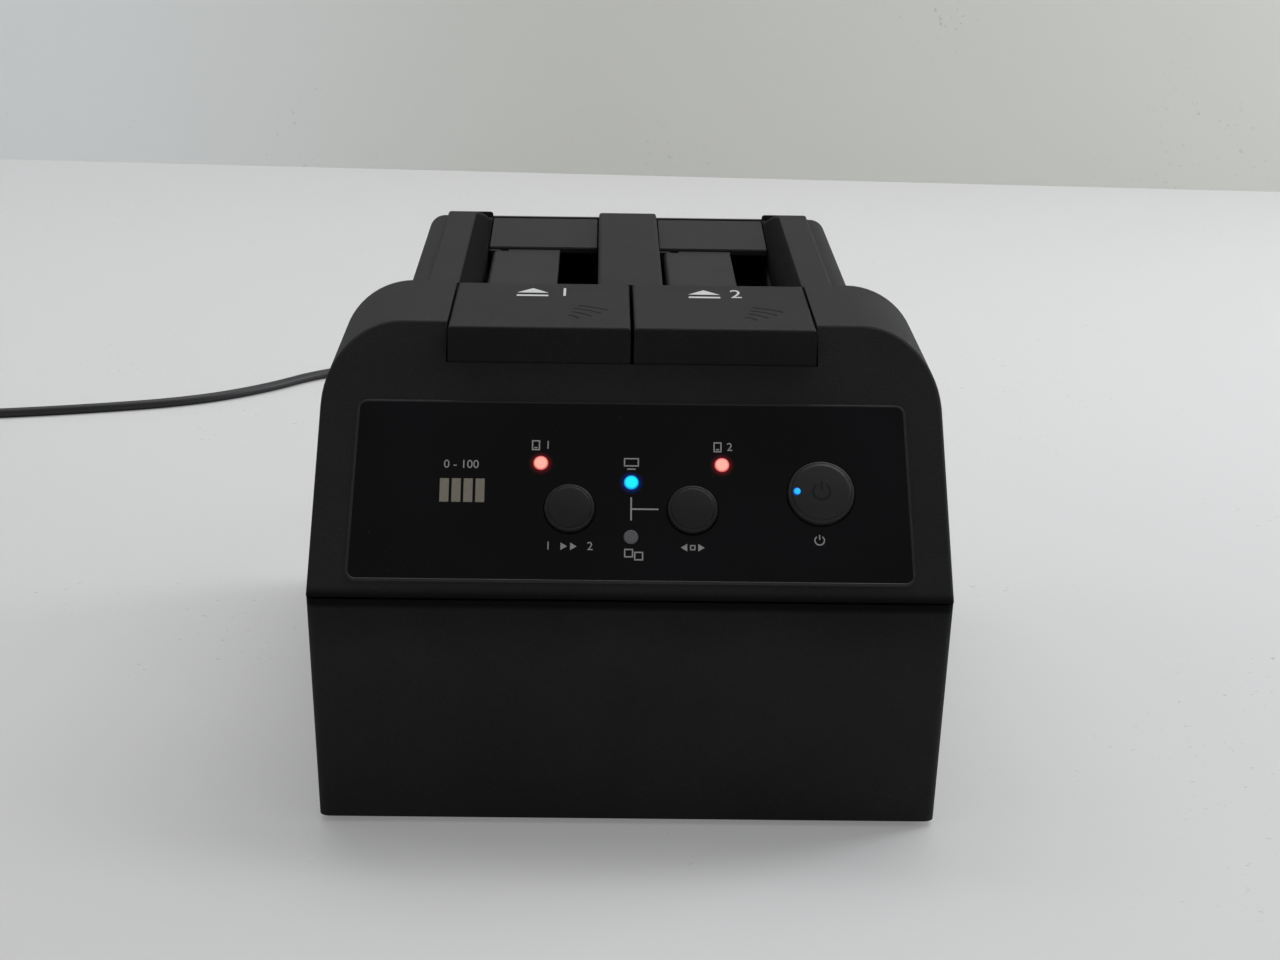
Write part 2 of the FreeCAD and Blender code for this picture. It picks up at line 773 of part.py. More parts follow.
def lever_pin(side):
    """Steel pivot pin, held in the well's ears."""
    low, high = lever_hub_span(side)
    reach = lever_ear + 0.3
    axis_y = lever_axis_y()
    start = (low - reach, axis_y, lever_axis_z)
    return rod(lever_pin_radius, start, (high + reach, axis_y, lever_axis_z))


# ---------------------------------------------------------------- bays
def tab_places(side):
    """Screw places of a well's tabs, on the middle line under the centre rail."""
    first = bay_front_y + (12.0 if side == "source" else 26.0)
    return [first, first + 56.0]


def drive_well(side):
    """Open shaft for a drive: walls, floor with a connector slot, lever slot and ears."""
    left = bay_left[side]
    right = left + bay_width
    x_out = (left - bay_wall, right + bay_wall)
    y_out = (bay_front_y - bay_wall, bay_rear_y + bay_wall)
    low = well_floor_z - well_floor
    outside = box(x_out, y_out, (low, rim_z))
    inside = box((left, right), (bay_front_y, bay_rear_y), (well_floor_z, rim_z + 1))
    door_space = box((x_out[0] - 1, x_out[1] + 1), (bay_rear_y, rear_y), (door_clear_z(), rim_z + 1))
    well = cut(outside, [inside, door_space])
    parts = [well]
    hub = lever_hub_span(side)
    axis = (lever_axis_y(), lever_axis_z)
    for x0 in (hub[0] - 0.3 - lever_ear, hub[1] + 0.3):
        ear = box((x0, x0 + lever_ear), (axis[0], bay_front_y - 0.5), (axis[1] - 4.0, axis[1] + 4.0))
        parts.append(ear)
        parts.append(rod(4.0, (x0, *axis), (x0 + lever_ear, *axis)))
    inner_wall = -bay_inner if side == "source" else bay_inner
    towards = sides[side]
    for y in tab_places(side):
        span = sorted((0.0, inner_wall - towards * bay_wall / 2))
        parts.append(box(span, (y - tab_radius, y + tab_radius), (tab_z, tab_z + tab_thickness)))
        parts.append(rod(tab_radius, (0, y, tab_z), (0, y, tab_z + tab_thickness)))
    for x in (left + 9.0, left + 14.0):
        ledge = box((x, x + 1.5), (bay_front_y + 4.0, bay_rear_y - 4.0), (well_floor_z - 0.5, drive_seat_z))
        parts.append(ledge)
    whole = fuse(parts)
    tip = lever_tip_x(side)
    half = lever_width / 2 + 1.0
    slot_x = (tip - half, tip + half)
    slot_start = bay_front_y - 5.0
    lever_slot = box(slot_x, (slot_start, bay_front_y + 1.0), (low - 1, lever_axis_z + 14.0))
    floor_end = lever_axis_y() + lever_reach + 2.0
    lever_floor = box(slot_x, (slot_start, floor_end), (low - 1, well_floor_z))
    sata = connector_place(side)
    sata_slot = box(
        (sata[0] - connector_width / 2 - fit_gap, sata[0] + connector_width / 2 + fit_gap),
        (sata[1] - fit_gap, sata[1] + connector_length + fit_gap),
        (low - 1, well_floor_z + 1),
    )
    pin = rod(lever_pin_radius + 0.05, (hub[0] - 9, *axis), (hub[1] + 9, *axis))
    tools = [lever_slot, lever_floor, sata_slot, pin]
    for y in tab_places(side):
        tools.append(rod(screw_radius + screw_clearance, (0, y, tab_z - 1), (0, y, tab_z + 9)))
    return cut(whole, tools)


def door_axis():
    """Hinge axis of the rear doors, as y and z."""
    return pocket_rear_y - hinge_barrel_radius - 0.25, rail_z - door_rear_drop - hinge_barrel_radius


def door_reach():
    """Length of a rear door from its hinge axis to its front edge."""
    return door_axis()[0] - slot_rear_y - flap_gap


def door_clear_z():
    """Height below which a folded door doesn't reach."""
    return door_axis()[1] - door_reach() - 2.0


def flap_axis(side):
    """Hinge axis of a bay flap, as x and z."""
    return bay_left[side] + hinge_offset, rail_z - flap_drop - hinge_barrel_radius


def flap_pin(side, radius):
    """Pin of a bay flap, from the rim's front wall to the lug."""
    x, z = flap_axis(side)
    return rod(radius, (x, bay_front_y - bay_wall + 0.3, z), (x, slot_rear_y + flap_gap - 0.4, z))


def flap_lug(side):
    """Small bearing lug on the bay's side wall, behind the flap."""
    x, z = flap_axis(side)
    left = bay_left[side]
    y = (slot_rear_y - 2.0, slot_rear_y)
    lug = box((left - 0.5, x), y, (z - hinge_barrel_radius, z + hinge_barrel_radius))
    lug = lug.fuse(rod(hinge_barrel_radius, (x, y[0], z), (x, y[1], z)))
    gusset = [
        (left - 0.5, y[0], z - 3.8),
        (left + 0.4, y[0], z - 3.8),
        (x, y[0], z - 1.0),
        (left - 0.5, y[0], z - 1.0),
    ]
    lug = lug.fuse(prism(gusset, (0, y[1] - y[0], 0)))
    return lug.cut(flap_pin(side, hinge_pin_radius + 0.05))


def bay_flap(side):
    """Spring-loaded flap that closes the wide part of a bay."""
    x, z = flap_axis(side)
    top = rail_z - flap_drop
    y = (bay_front_y + flap_gap, slot_rear_y - 2.0 - flap_gap)
    right = bay_left[side] + bay_width - slot_width - flap_gap
    plate = box((x, right), y, (top - flap_thickness, top))
    long_edge = [e for e in plate.Edges if e.BoundBox.XMin > right - 0.01 and e.BoundBox.ZMin > top - 0.01]
    plate = plate.makeFillet(0.5, long_edge)
    barrel = rod(hinge_barrel_radius, (x, y[0], z), (x, y[1], z))
    tail = box((x + 3.0, right), (y[1] - 1.0, slot_rear_y), (top - flap_thickness, top))
    parts = [plate, barrel, tail]
    for place in (0.2, 0.5, 0.8):
        middle = y[0] + (y[1] - y[0]) * place
        rib_z = (top - flap_thickness - 0.8, top - 1.0)
        parts.append(box((x, right - 2.0), (middle - 0.6, middle + 0.6), rib_z))
    bore = rod(hinge_pin_radius + hinge_clearance, (x, y[0] - 1, z), (x, y[1] + 1, z))
    return fuse(parts).cut(bore)


def door_pin(side, radius):
    """Pin of a rear door, across the bay and into the rim on both sides."""
    y, z = door_axis()
    left = bay_left[side]
    return rod(radius, (left - 1.2, y, z), (left + bay_width + 1.2, y, z))


def rear_door(side):
    """Spring-loaded door behind the small drive's slot, hinged along the rear wall."""
    y, z = door_axis()
    left = bay_left[side]
    span = (left + flap_gap, left + bay_width - flap_gap)
    top_rear = rail_z - door_rear_drop
    top_front = rail_z - door_front_drop
    front = slot_rear_y + flap_gap
    outline = [
        (span[0], y, top_rear),
        (span[0], front + 0.3, top_front),
        (span[0], front, top_front - 0.4),
        (span[0], front, top_front - flap_thickness),
        (span[0], y, top_rear - flap_thickness),
    ]
    plate = prism(outline, (span[1] - span[0], 0, 0))
    barrel = rod(hinge_barrel_radius, (span[0], y, z), (span[1], y, z))
    bore = rod(hinge_pin_radius + hinge_clearance, (span[0] - 1, y, z), (span[1] + 1, y, z))
    return fuse([plate, barrel]).cut(bore)


# ---------------------------------------------------------------- control panel
def panel_plate(grow, low, high):
    """The panel's tapered outline between two depths, grown on every side."""
    points = [
        (-panel_bottom_half - grow, panel_bottom - grow, low),
        (panel_bottom_half + grow, panel_bottom - grow, low),
        (panel_top_half + grow, panel_top + grow, low),
        (-panel_top_half - grow, panel_top + grow, low),
    ]
    return rounded_prism(points, [max(panel_radius + grow, 0.5)] * 4, (0, 0, high - low))


def bar_places():
    """Middles of the progress bars, across the panel."""
    return [bar_first_u + bar_pitch * i for i in range(bar_count)]


def led_places():
    """Name and place of each panel light."""
    return {
        "source_light": (-led_side, led_side_v),
        "target_light": (led_side, led_side_v),
        "pc_light": (0.0, led_pc_v),
        "copy_light": (0.0, led_copy_v),
    }


def button_places():
    """Name, place and radius of each panel button."""
    return {
        "duplicate_button": (-copy_button_u, copy_button_v, copy_button_radius),
        "mode_button": (copy_button_u, copy_button_v, copy_button_radius),
        "power_button": (power_u, power_v, power_button_radius),
    }


def front_panel():
    """Glossy plate with holes for the lights, the bars and the buttons."""
    low = panel_proud - panel_thickness
    plate = panel_plate(0, low, panel_proud)
    top_edges = [e for e in plate.Edges if e.BoundBox.ZMin > panel_proud - 0.01]
    plate = plate.makeChamfer(0.25, top_edges)
    tools = []
    for u, v in led_places().values():
        tools.append(slope_rod(led_radius + 0.05, u, v, low - 1, 2))
    for u, v, radius in button_places().values():
        tools.append(slope_rod(radius + button_clearance, u, v, low - 1, 2))
    for u in bar_places():
        half = bar_width / 2 + 0.05
        high = bar_height / 2 + 0.05
        tools.append(box((u - half, u + half), (bar_v - high, bar_v + high), (low - 1, 2)))
    return on_slope(cut(plate, tools))


def panel_light(u, v):
    """Domed light that stands on the control board."""
    top = panel_proud + led_proud
    body = slope_rod(led_radius, u, v, -board_depth, top)
    body = body.makeFillet(0.35, edges_at(body, top))
    flange = slope_rod(led_radius + 0.5, u, v, -board_depth, -board_depth + 1.2)
    return on_slope(fuse([body, flange]))


def progress_bars():
    """Row of light bars that stand on the control board."""
    bars = []
    for u in bar_places():
        half = bar_width / 2
        high = bar_height / 2
        bar = box((u - half, u + half), (bar_v - high, bar_v + high), (-board_depth, panel_proud + 0.1))
        bars.append(on_slope(bar))
    return bars


def panel_button(name):
    """Round key with a retaining flange and a stem towards its switch."""
    u, v, radius = button_places()[name]
    under = panel_proud - panel_thickness
    top = panel_proud + button_proud
    cap = slope_rod(radius, u, v, under - 2.0, top)
    cap = cap.makeFillet(0.7, edges_at(cap, top))
    flange = slope_rod(radius + button_flange, u, v, under - 2.0, under - button_clearance)
    stem = slope_rod(2.0, u, v, switch_top() + button_travel + button_clearance, under - 1.5)
    whole = fuse([cap, flange, stem])
    if name == "power_button":
        whole = whole.cut(power_light_rod(power_light_radius + 0.05, 3.0))
    return on_slope(whole)


def power_light_rod(radius, rise):
    """Space of the small light at the power button's edge."""
    top = panel_proud + button_proud
    return slope_rod(radius, power_u - power_light_offset, power_v, top - 2.2, top + rise)


def switch_top():
    """Height of a tact switch's plunger below the slope."""
    return -board_depth + 1.9


def control_board():
    """Board behind the panel, square to the lights and the buttons."""
    v = (board_low_v, board_high_v)
    plate = box((-board_half, board_half), v, (-board_depth - board_thickness, -board_depth))
    tools = [slope_rod(screw_radius + screw_clearance, u, w, -20, 0) for u, w in control_screw_places()]
    return on_slope(cut(plate, tools))


def control_screw_places():
    """Screw places of the control board."""
    side_u = board_half - control_screw_inset
    rows = (board_low_v + control_screw_inset, board_high_v - control_screw_inset)
    return [(u, v) for u in (-side_u, side_u) for v in rows]


def tact_switches():
    """Switches under the three panel buttons."""
    made = []
    for u, v, _ in button_places().values():
        body = box((u - 3.0, u + 3.0), (v - 3.0, v + 3.0), (-board_depth, -board_depth + 1.5))
        made.append(on_slope(body.fuse(slope_rod(1.6, u, v, -board_depth + 1.0, switch_top()))))
    return made


# ---------------------------------------------------------------- main board and ports
def connector_place(side):
    """Middle x and front y of a drive connector."""
    return lever_tip_x(side), lever_axis_y() + lever_reach + 4.0


def drive_connector(side):
    """Upright drive connector: housing with two keyed slots."""
    x, y = connector_place(side)
    low = main_board_z + board_thickness
    half = connector_width / 2
    body = box((x - half, x + half), (y, y + connector_length), (low, low + connector_height))
    data = box((x - 1.2, x + 1.2), (y + 2.5, y + 15.0), (low + 9.0, low + connector_height + 1))
    power = box((x - 1.2, x + 1.2), (y + 17.5, y + 37.5), (low + 9.0, low + connector_height + 1))
    key = box((x - 2.2, x + 1.2), (y + 2.5, y + 4.2), (low + 9.0, low + connector_height + 1))
    return cut(body, [data, power, key])


def main_board():
    """Board under the wells."""
    top = main_board_z + board_thickness
    depth = (main_board_front, main_board_rear)
    plate = box((-main_board_half, main_board_half), depth, (main_board_z, top))
    hole = screw_radius + screw_clearance
    return cut(plate, [rod(hole, (x, y, 0), (x, y, top + 1)) for x, y in board_posts()])


def board_chips():
    """Processor, memory, converter coil and capacitors in a row between the wells."""
    top = main_board_z + board_thickness
    y = main_board_front + chip_row_front
    chips = []
    for length, height in ((14.0, 1.4), (10.0, 1.2), (10.0, 5.0)):
        chips.append(box((-chip_half, chip_half), (y, y + length), (top, top + height)))
        y += length + chip_gap
    for count in range(2):
        centre_y = y + capacitor_radius + count * (2 * capacitor_radius + chip_gap)
        chips.append(rod(capacitor_radius, (0, centre_y, top), (0, centre_y, top + capacitor_height)))
    return chips


def power_jack():
    """Barrel jack on the board's rear edge, with its centre pin."""
    z = port_centre_z(jack_height)
    y1 = port_face_y()
    half = jack_width / 2
    body_z = (z - jack_height / 2, z + jack_height / 2)
    body = box((-port_x - half, -port_x + half), (y1 - jack_length, y1), body_z)
    body = body.cut(rod(jack_bore, (-port_x, y1 - jack_length + 3.0, z), (-port_x, y1 + 1, z)))
    return body.fuse(rod(1.0, (-port_x, y1 - jack_length + 2.0, z), (-port_x, y1 - 1.5, z)))


def port_face_y():
    """Inner face of the tray's rear wall at port height, less a small gap."""
    lean = (seam_z - main_board_z) * math.tan(math.radians(tray_draft))
    return rear_y - lean - wall - fit_gap


def data_port():
    """Square data port for a computer, with its tongue."""
    low = main_board_z + board_thickness
    y1 = port_face_y() + wall
    half = port_width / 2
    shell = box((port_x - half, port_x + half), (y1 - port_length, y1), (low, low + port_height))
    mouth = [
        (port_x - half + 1.2, y1 - port_length + 3.0, low + 1.2),
        (port_x + half - 1.2, y1 - port_length + 3.0, low + 1.2),
        (port_x + half - 1.2, y1 - port_length + 3.0, low + port_height - 3.2),
        (port_x + half - 3.2, y1 - port_length + 3.0, low + port_height - 1.2),
        (port_x - half + 3.2, y1 - port_length + 3.0, low + port_height - 1.2),
        (port_x - half + 1.2, y1 - port_length + 3.0, low + port_height - 3.2),
    ]
    shell = shell.cut(prism(mouth, (0, port_length, 0)))
    tongue = box((port_x - 2.8, port_x + 2.8), (y1 - port_length + 2.0, y1 - 2.0), (low + 4.0, low + 7.0))
    return shell.fuse(tongue)


def ribbon_cable():
    """Flat cable from the control board to the main board, with a plug at each end."""
    half = ribbon_half
    v = panel_bottom + 12.0
    w = -board_depth - board_thickness
    start_y = front_y + v * slope_cos - w * slope_sin
    start_z = seam_z + v * slope_sin + w * slope_cos
    end_z = main_board_z + board_thickness + 4.0
    points = [
        (start_y + 3.5, start_z - 2.6),
        (start_y + 12.0, start_z - 14.0),
        (start_y + 22.0, end_z),
        (main_board_front + 4.0, end_z),
    ]
    upper = [(-half, y, z + 0.35) for y, z in points]
    lower = [(-half, y, z - 0.35) for y, z in reversed(points)]
    cable = prism(upper + lower, (2 * half, 0, 0))
    head = on_slope(box((-half - 0.8, half + 0.8), (v - 2.5, v + 2.5), (w - 4.5, w)))
    foot_y_span = (main_board_front + 2.0, main_board_front + 7.0)
    foot = box((-half - 0.8, half + 0.8), foot_y_span, (main_board_z + board_thickness, end_z + 1.0))
    return fuse([cable, head, foot])


# ---------------------------------------------------------------- fixings
def screw(x, y, seat, tip):
    """Pan-head screw with its head's face at the seat and its tip above or below."""
    up = 1 if tip > seat else -1
    head = rod(screw_head_radius, (x, y, seat - up * screw_head_height), (x, y, seat))
    drive = rod(1.1, (x, y, seat - up * (screw_head_height + 1)), (x, y, seat - up * 0.9))
    return fuse([head, rod(screw_radius, (x, y, seat), (x, y, tip))]).cut(drive)


def slope_screw(u, v):
    """Screw through the control board into its post on the cover."""
    seat = -board_depth - board_thickness
    head = slope_rod(screw_head_radius, u, v, seat - screw_head_height, seat)
    shank = slope_rod(screw_radius, u, v, seat, -board_depth + 4.0)
    return on_slope(fuse([head, shank]))


def rubber_foot(x, y):
    """Round foot with a softened lower edge, set in the tray."""
    foot = rod(foot_radius, (x, y, 0), (x, y, foot_gap + foot_recess))
    return foot.makeChamfer(0.4, [e for e in foot.Edges if e.BoundBox.ZMax < 0.01])


# ---------------------------------------------------------------- power lead
plug_face_y = rear_y + 0.3
lead_z = lead_diameter / 2
jack_axis_z = main_board_z + board_thickness + jack_height / 2
lead_exit_y = plug_face_y + plug_length + relief_length
route = [
    (-port_x, lead_exit_y, jack_axis_z),
    (-port_x, 146.0, jack_axis_z),
    (-47.5, 166.0, 22.0),
    (-48.0, 180.0, 6.0),
    (-48.5, 198.0, lead_z),
    (-47.5, 228.0, lead_z),
    (-46.0, 268.0, lead_z),
    (-50.0, 310.0, lead_z),
    (-64.0, 346.0, lead_z),
    (-88.0, 366.0, lead_z),
    (-114.0, 352.0, lead_z),
    (-133.0, 325.0, lead_z),
    (-158.0, 304.0, lead_z),
    (-196.0, 290.0, lead_z),
    (-230.0, 281.0, lead_z),
    (-259.0, 275.0, lead_z),
]
coil_centre = (-256.0, 249.0)


def lead_path(points):
    """Straight runs joined by tangent arcs, and the arcs' radii."""
    corners = [Vector(*p) for p in points]
    edges = []
    radii = []
    last = corners[0]
    for before, here, after in zip(corners, corners[1:], corners[2:]):
        shorter = min((here - before).Length, (after - here).Length)
        half_turn = (here - before).getAngle(after - here) / 2
        radius = 0.45 * shorter / math.tan(half_turn)
        radii.append(radius)
        start, middle, end = arc_corner(here, before, after, radius)
        edges.append(Part.LineSegment(last, start).toShape())
        edges.append(Part.Arc(start, middle, end).toShape())
        last = end
    edges.append(Part.LineSegment(last, corners[-1]).toShape())
    return Part.Wire(edges), radii


def power_lead():
    """The stretch of lead between the plug and the coil."""
    path, radii = lead_path(route)
    print("lead radii in diameters:", [round(r / lead_diameter, 1) for r in radii])
    start = Vector(*route[0])
    along = Vector(*route[1]) - start
    circle = Part.Wire(Part.makeCircle(lead_diameter / 2, start, along))
    tube = path.makePipeShell([circle], True, False)
    swept = math.pi * (lead_diameter / 2) ** 2 * path.Length
    print("lead volume over section times length:", round(tube.Volume / swept, 4))
    print("lead length to the coil:", round(path.Length, 1))
    return tube.cut(lead_coil())


def power_plug():
    """Barrel plug: metal sleeve in the jack, moulded grip and tapered relief."""
    z = jack_axis_z
    y = plug_face_y
    sleeve = rod(2.75, (-port_x, port_face_y() - 9.0, z), (-port_x, y, z))
    hollow = rod(1.25, (-port_x, port_face_y() - 10.0, z), (-port_x, port_face_y() + 1.0, z))
    grip = rod(plug_radius, (-port_x, y, z), (-port_x, y + plug_length, z))
    grip = grip.makeChamfer(0.8, [e for e in grip.Edges if e.BoundBox.YLength < 0.01])
    base = Vector(-port_x, y + plug_length, z)
    relief = Part.makeCone(plug_radius * 0.72, lead_diameter / 2 + 0.5, relief_length, base, Vector(0, 1, 0))
    return fuse([sleeve.cut(hollow), grip, relief])


def lead_coil():
    """Outer shape of the neat coil that holds the rest of the lead."""
    x, y = coil_centre
    outer = coil_radius + coil_half_width
    inner = coil_radius - coil_half_width
    ring = rod(outer, (x, y, 0), (x, y, coil_height)).cut(rod(inner, (x, y, -1), (x, y, coil_height + 1)))
    return ring.makeFillet(coil_round, [e for e in ring.Edges if e.BoundBox.ZLength < 0.01])


def adapter_parts():
    """Plug-in power adapter beside the coil, and its two blades."""
    width, length, height = adapter_size
    outer = coil_radius + coil_half_width
    last_turn = outer - lead_diameter / 2 - 0.15
    x = coil_centre[0] - last_turn
    tip_radius = lead_diameter / 2 + 0.4
    tip_y = coil_centre[1] - math.sqrt(outer**2 - (last_turn - tip_radius) ** 2) - 0.1
    y1 = tip_y - adapter_relief_length
    y0 = y1 - length
    half = width / 2
    points = [(x - half, y0, 0.0), (x + half, y0, 0.0), (x + half, y0, height), (x - half, y0, height)]
    body = rounded_prism(points, [5.0] * 4, (0, length, 0))
    ends = [e for e in body.Edges if e.BoundBox.YLength < 0.01]
    body = body.makeChamfer(1.2, ends)
    base = Vector(x, y1 - 0.5, lead_z + lead_diameter + 0.1)
    relief = Part.makeCone(3.2, tip_radius, adapter_relief_length + 0.5, base, Vector(0, 1, 0))
    blades = []
    for side in (-6.35, 6.35):
        blade_z = (height / 2 - 3.2, height / 2 + 3.2)
        blade = box((x + side - 0.75, x + side + 0.75), (y0 - blade_length, y0), blade_z)
        blades.append(blade)
    return fuse([body, relief]), blades


# ---------------------------------------------------------------- the assembly
save("base_tray", base_tray())
save("top_cover", top_cover())
save("front_panel", front_panel())
for node, (u, v) in led_places().items():
    save(node, panel_light(u, v))
save("progress_bars", *progress_bars())
for node in button_places():
    save(node, panel_button(node))
save("power_light", on_slope(power_light_rod(power_light_radius, 0.15)))
save("control_board", control_board())
save("tact_switches", *tact_switches())
save("ribbon_cable", ribbon_cable())
save("eject_shelf", eject_shelf())
for side in sides:
    save(f"{side}_eject_button", eject_button(side))
    save(f"{side}_eject_lever", eject_lever(side))
    save(f"{side}_lever_pin", lever_pin(side))
    save(f"{side}_eject_spring", eject_spring(side))
    save(f"{side}_drive_well", drive_well(side))
    save(f"{side}_bay_flap", bay_flap(side))
    save(f"{side}_rear_door", rear_door(side))
    save(f"{side}_drive_connector", drive_connector(side))
save("flap_pins", *[flap_pin(side, hinge_pin_radius) for side in sides])
save("door_pins", *[door_pin(side, hinge_pin_radius) for side in sides])
save("main_board", main_board())
save("board_chips", *board_chips())
save("power_jack", power_jack())
save("data_port", data_port())
case_tip_z = case_boss_z + 11.0
save("case_screws", *[screw(x, y, case_head_z, case_tip_z) for x, y in case_screw_places()])
board_top = main_board_z + board_thickness
save("board_screws", *[screw(x, y, board_top, main_board_z - 8.0) for x, y in board_posts()])
save("shelf_screws", *[screw(x, y, shelf_z, shelf_z + 9.0) for x, y in shelf_posts()])
save("well_screws", *[screw(0, y, tab_z, tab_z + 8.0) for side in sides for y in tab_places(side)])
save("control_screws", *[slope_screw(u, v) for u, v in control_screw_places()])
save("rubber_feet", *[rubber_foot(x, y) for x, y in foot_places()])
save("power_plug", power_plug())
save("power_lead", power_lead())
save("lead_coil", lead_coil())
adapter_body, adapter_blades = adapter_parts()
save("power_adapter", adapter_body)
save("adapter_blades", *adapter_blades)
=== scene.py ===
import bmesh
import bpy
import math
from mathutils import Matrix, Vector


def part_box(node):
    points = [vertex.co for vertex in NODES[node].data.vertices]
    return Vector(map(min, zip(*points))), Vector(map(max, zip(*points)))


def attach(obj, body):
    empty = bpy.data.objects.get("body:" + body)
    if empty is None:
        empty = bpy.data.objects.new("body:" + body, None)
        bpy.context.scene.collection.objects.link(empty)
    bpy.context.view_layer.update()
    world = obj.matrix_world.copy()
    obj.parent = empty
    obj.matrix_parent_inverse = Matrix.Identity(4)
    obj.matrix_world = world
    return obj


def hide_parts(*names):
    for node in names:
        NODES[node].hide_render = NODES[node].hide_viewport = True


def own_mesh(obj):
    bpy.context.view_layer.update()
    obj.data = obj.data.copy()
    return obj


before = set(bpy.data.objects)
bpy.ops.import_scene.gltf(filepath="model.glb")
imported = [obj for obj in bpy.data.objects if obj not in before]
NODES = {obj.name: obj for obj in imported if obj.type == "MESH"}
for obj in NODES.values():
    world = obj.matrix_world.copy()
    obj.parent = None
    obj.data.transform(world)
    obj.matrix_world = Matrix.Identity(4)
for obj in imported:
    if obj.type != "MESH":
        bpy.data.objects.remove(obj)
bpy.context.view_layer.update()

# Sizes in metres, in the drive duplicator's own frame: X right, Y back, Z up.
SEAM_FRONT = Vector((0.0, -0.099, 0.0554))       # foot of the sloping face, on the middle line
SEAM_GROOVE = 0.0550                             # height of the groove between tray and cover
SLOPE_LEAN = math.atan2(0.0558, 0.0415)          # lean of the sloping face
PANEL_TOP = 0.0003                               # the panel's face above the slope
BUTTON_RISE = 0.0016                             # the round buttons above the panel
LENS_TOP = 0.0006                                # the round lights above the slope
KEY_LENS_TOP = PANEL_TOP + BUTTON_RISE + 0.0003  # the power key's light above the slope
KEY_LENS_LEFT = 0.0056                           # that light, to the left of the key's middle
KEY_LENS_RADIUS = 0.0010
KEY_LENS_CROWN = 0.00035                         # height of its dome
KEY_LENS_LIFT = 0.00010                          # rim of its dome above the key's rim
PANEL_CORNERS = [(0.0650, 0.0047), (0.0636, 0.0488), (-0.0636, 0.0488), (-0.0650, 0.0047)]
PANEL_CORNER_RADIUS = 0.0020
TRIM_SECTION = [                                 # outward and upward points of the strip round the panel
    (-0.00025, 0.00024), (-0.00025, 0.00034), (-0.00010, 0.00042), (0.00002, 0.00042),
    (0.00044, 0.00002), (0.00044, -0.00020), (0.00000, -0.00020),
]
PRINT_RISE = 0.00004                             # thickness of the printed marks
FIGURE_SHARE = 0.7                               # a numeral's height in the type's own size
DECK_TOP = 0.1112                                # the deck and the eject keys' flat tops
RAIL_INNER = 0.0436                              # inner edge of the outer rails' tops
LEAD_THICKNESS = 0.0035
KEY_DOMES = {                                    # middle, rim radius and height of each panel key's dome
    "duplicate_button": (-0.0142, 0.0222, 0.0051, 0.00055),
    "mode_button": (0.0142, 0.0222, 0.0051, 0.00055),
    "power_button": (0.0439, 0.0266, 0.0070, 0.00045),
}
SPILL = {                                        # light that the round lights spill into the panel
    "source_light": (0.085, 0.003, 0.005),
    "target_light": (0.085, 0.003, 0.005),
    "pc_light": (0.001, 0.014, 0.110),
}
RED_LENS = ((0.60, 0.06, 0.07), (1.0, 0.46, 0.36), 0.0018)
LENSES = {                                       # rim colour, heart colour and radius of each lit lens
    "source_light": RED_LENS,
    "target_light": RED_LENS,
    "pc_light": ((0.004, 0.16, 0.62), (0.01, 0.88, 1.0), 0.0018),
    "power_light": ((0.0, 0.06, 0.55), (0.02, 0.55, 1.0), 0.0009),
}

# Where the shell's painted shade on the rails and the tray's lip starts, is full, lasts and ends.
RAIL_ACROSS = (0.0378, 0.0384, RAIL_INNER - 0.0004, RAIL_INNER + 0.0001)
RAIL_ALONG = (-0.0100, -0.0092, 0.0900, 0.0960)
TRAY_LIP = (0.0400, 0.0540, 0.0550, 0.0556)

# Signs, and painted shade lines for the worn-flat grip ridges, on the eject keys.
KEY_MIDDLES = {"source": -0.0215, "target": 0.0210}
KEY_SIGN_ROW = -0.0224                           # the signs' middle, front to back
KEY_SIGN_STRETCH = 2.2                           # the signs are drawn long, to be read at a low angle
GRIP_ROOT = (0.0027, -0.0540)                    # middle of the grip arcs, across from the key's middle
GRIP_ARCS = [                                    # radius, and where each arc starts and ends in degrees
    (0.0062, 15.0, 56.0),
    (0.0098, 24.0, 64.0),
    (0.0134, 33.0, 68.0),
    (0.0170, 41.0, 70.0),
]
GRIP_WIDTH = 0.0004

# Rows of signs on the panel, up the slope, and the width of their strokes.
DRIVE_ROW = 0.0380
RANGE_ROW = 0.0330
MODE_ROW = 0.0131
STROKE = 0.00030

# Camera: its place, how it is turned, and its lens on a frame 36 mm wide.
CAMERA_PLACE = (-0.00791, -0.72226, 0.2547)
CAMERA_TURN = (15.304, 0.887, 0.900)             # degrees down, to the right and rolled
CAMERA_LENS = 80.72

# Table and wall.
STAGE_REACH = 4.0
WALL_HEIGHT = 1.2
WALL_DISTANCE = 0.8425                           # on the middle line
WALL_SKEW = 0.076                                # the wall comes nearer towards the right
TABLE_LIFT = 0.27                                # brightness that is added where the table is seen directly
TABLE_SHARE = 0.68                               # share of the table's own shading that stays there


def into_scene(name, data):
    """A new object in the scene that holds the data."""
    made = bpy.data.objects.new(name, data)
    bpy.context.scene.collection.objects.link(made)
    return made


def coat(data, material):
    """Gives a mesh or a curve one finish all over."""
    data.materials.clear()
    data.materials.append(material)


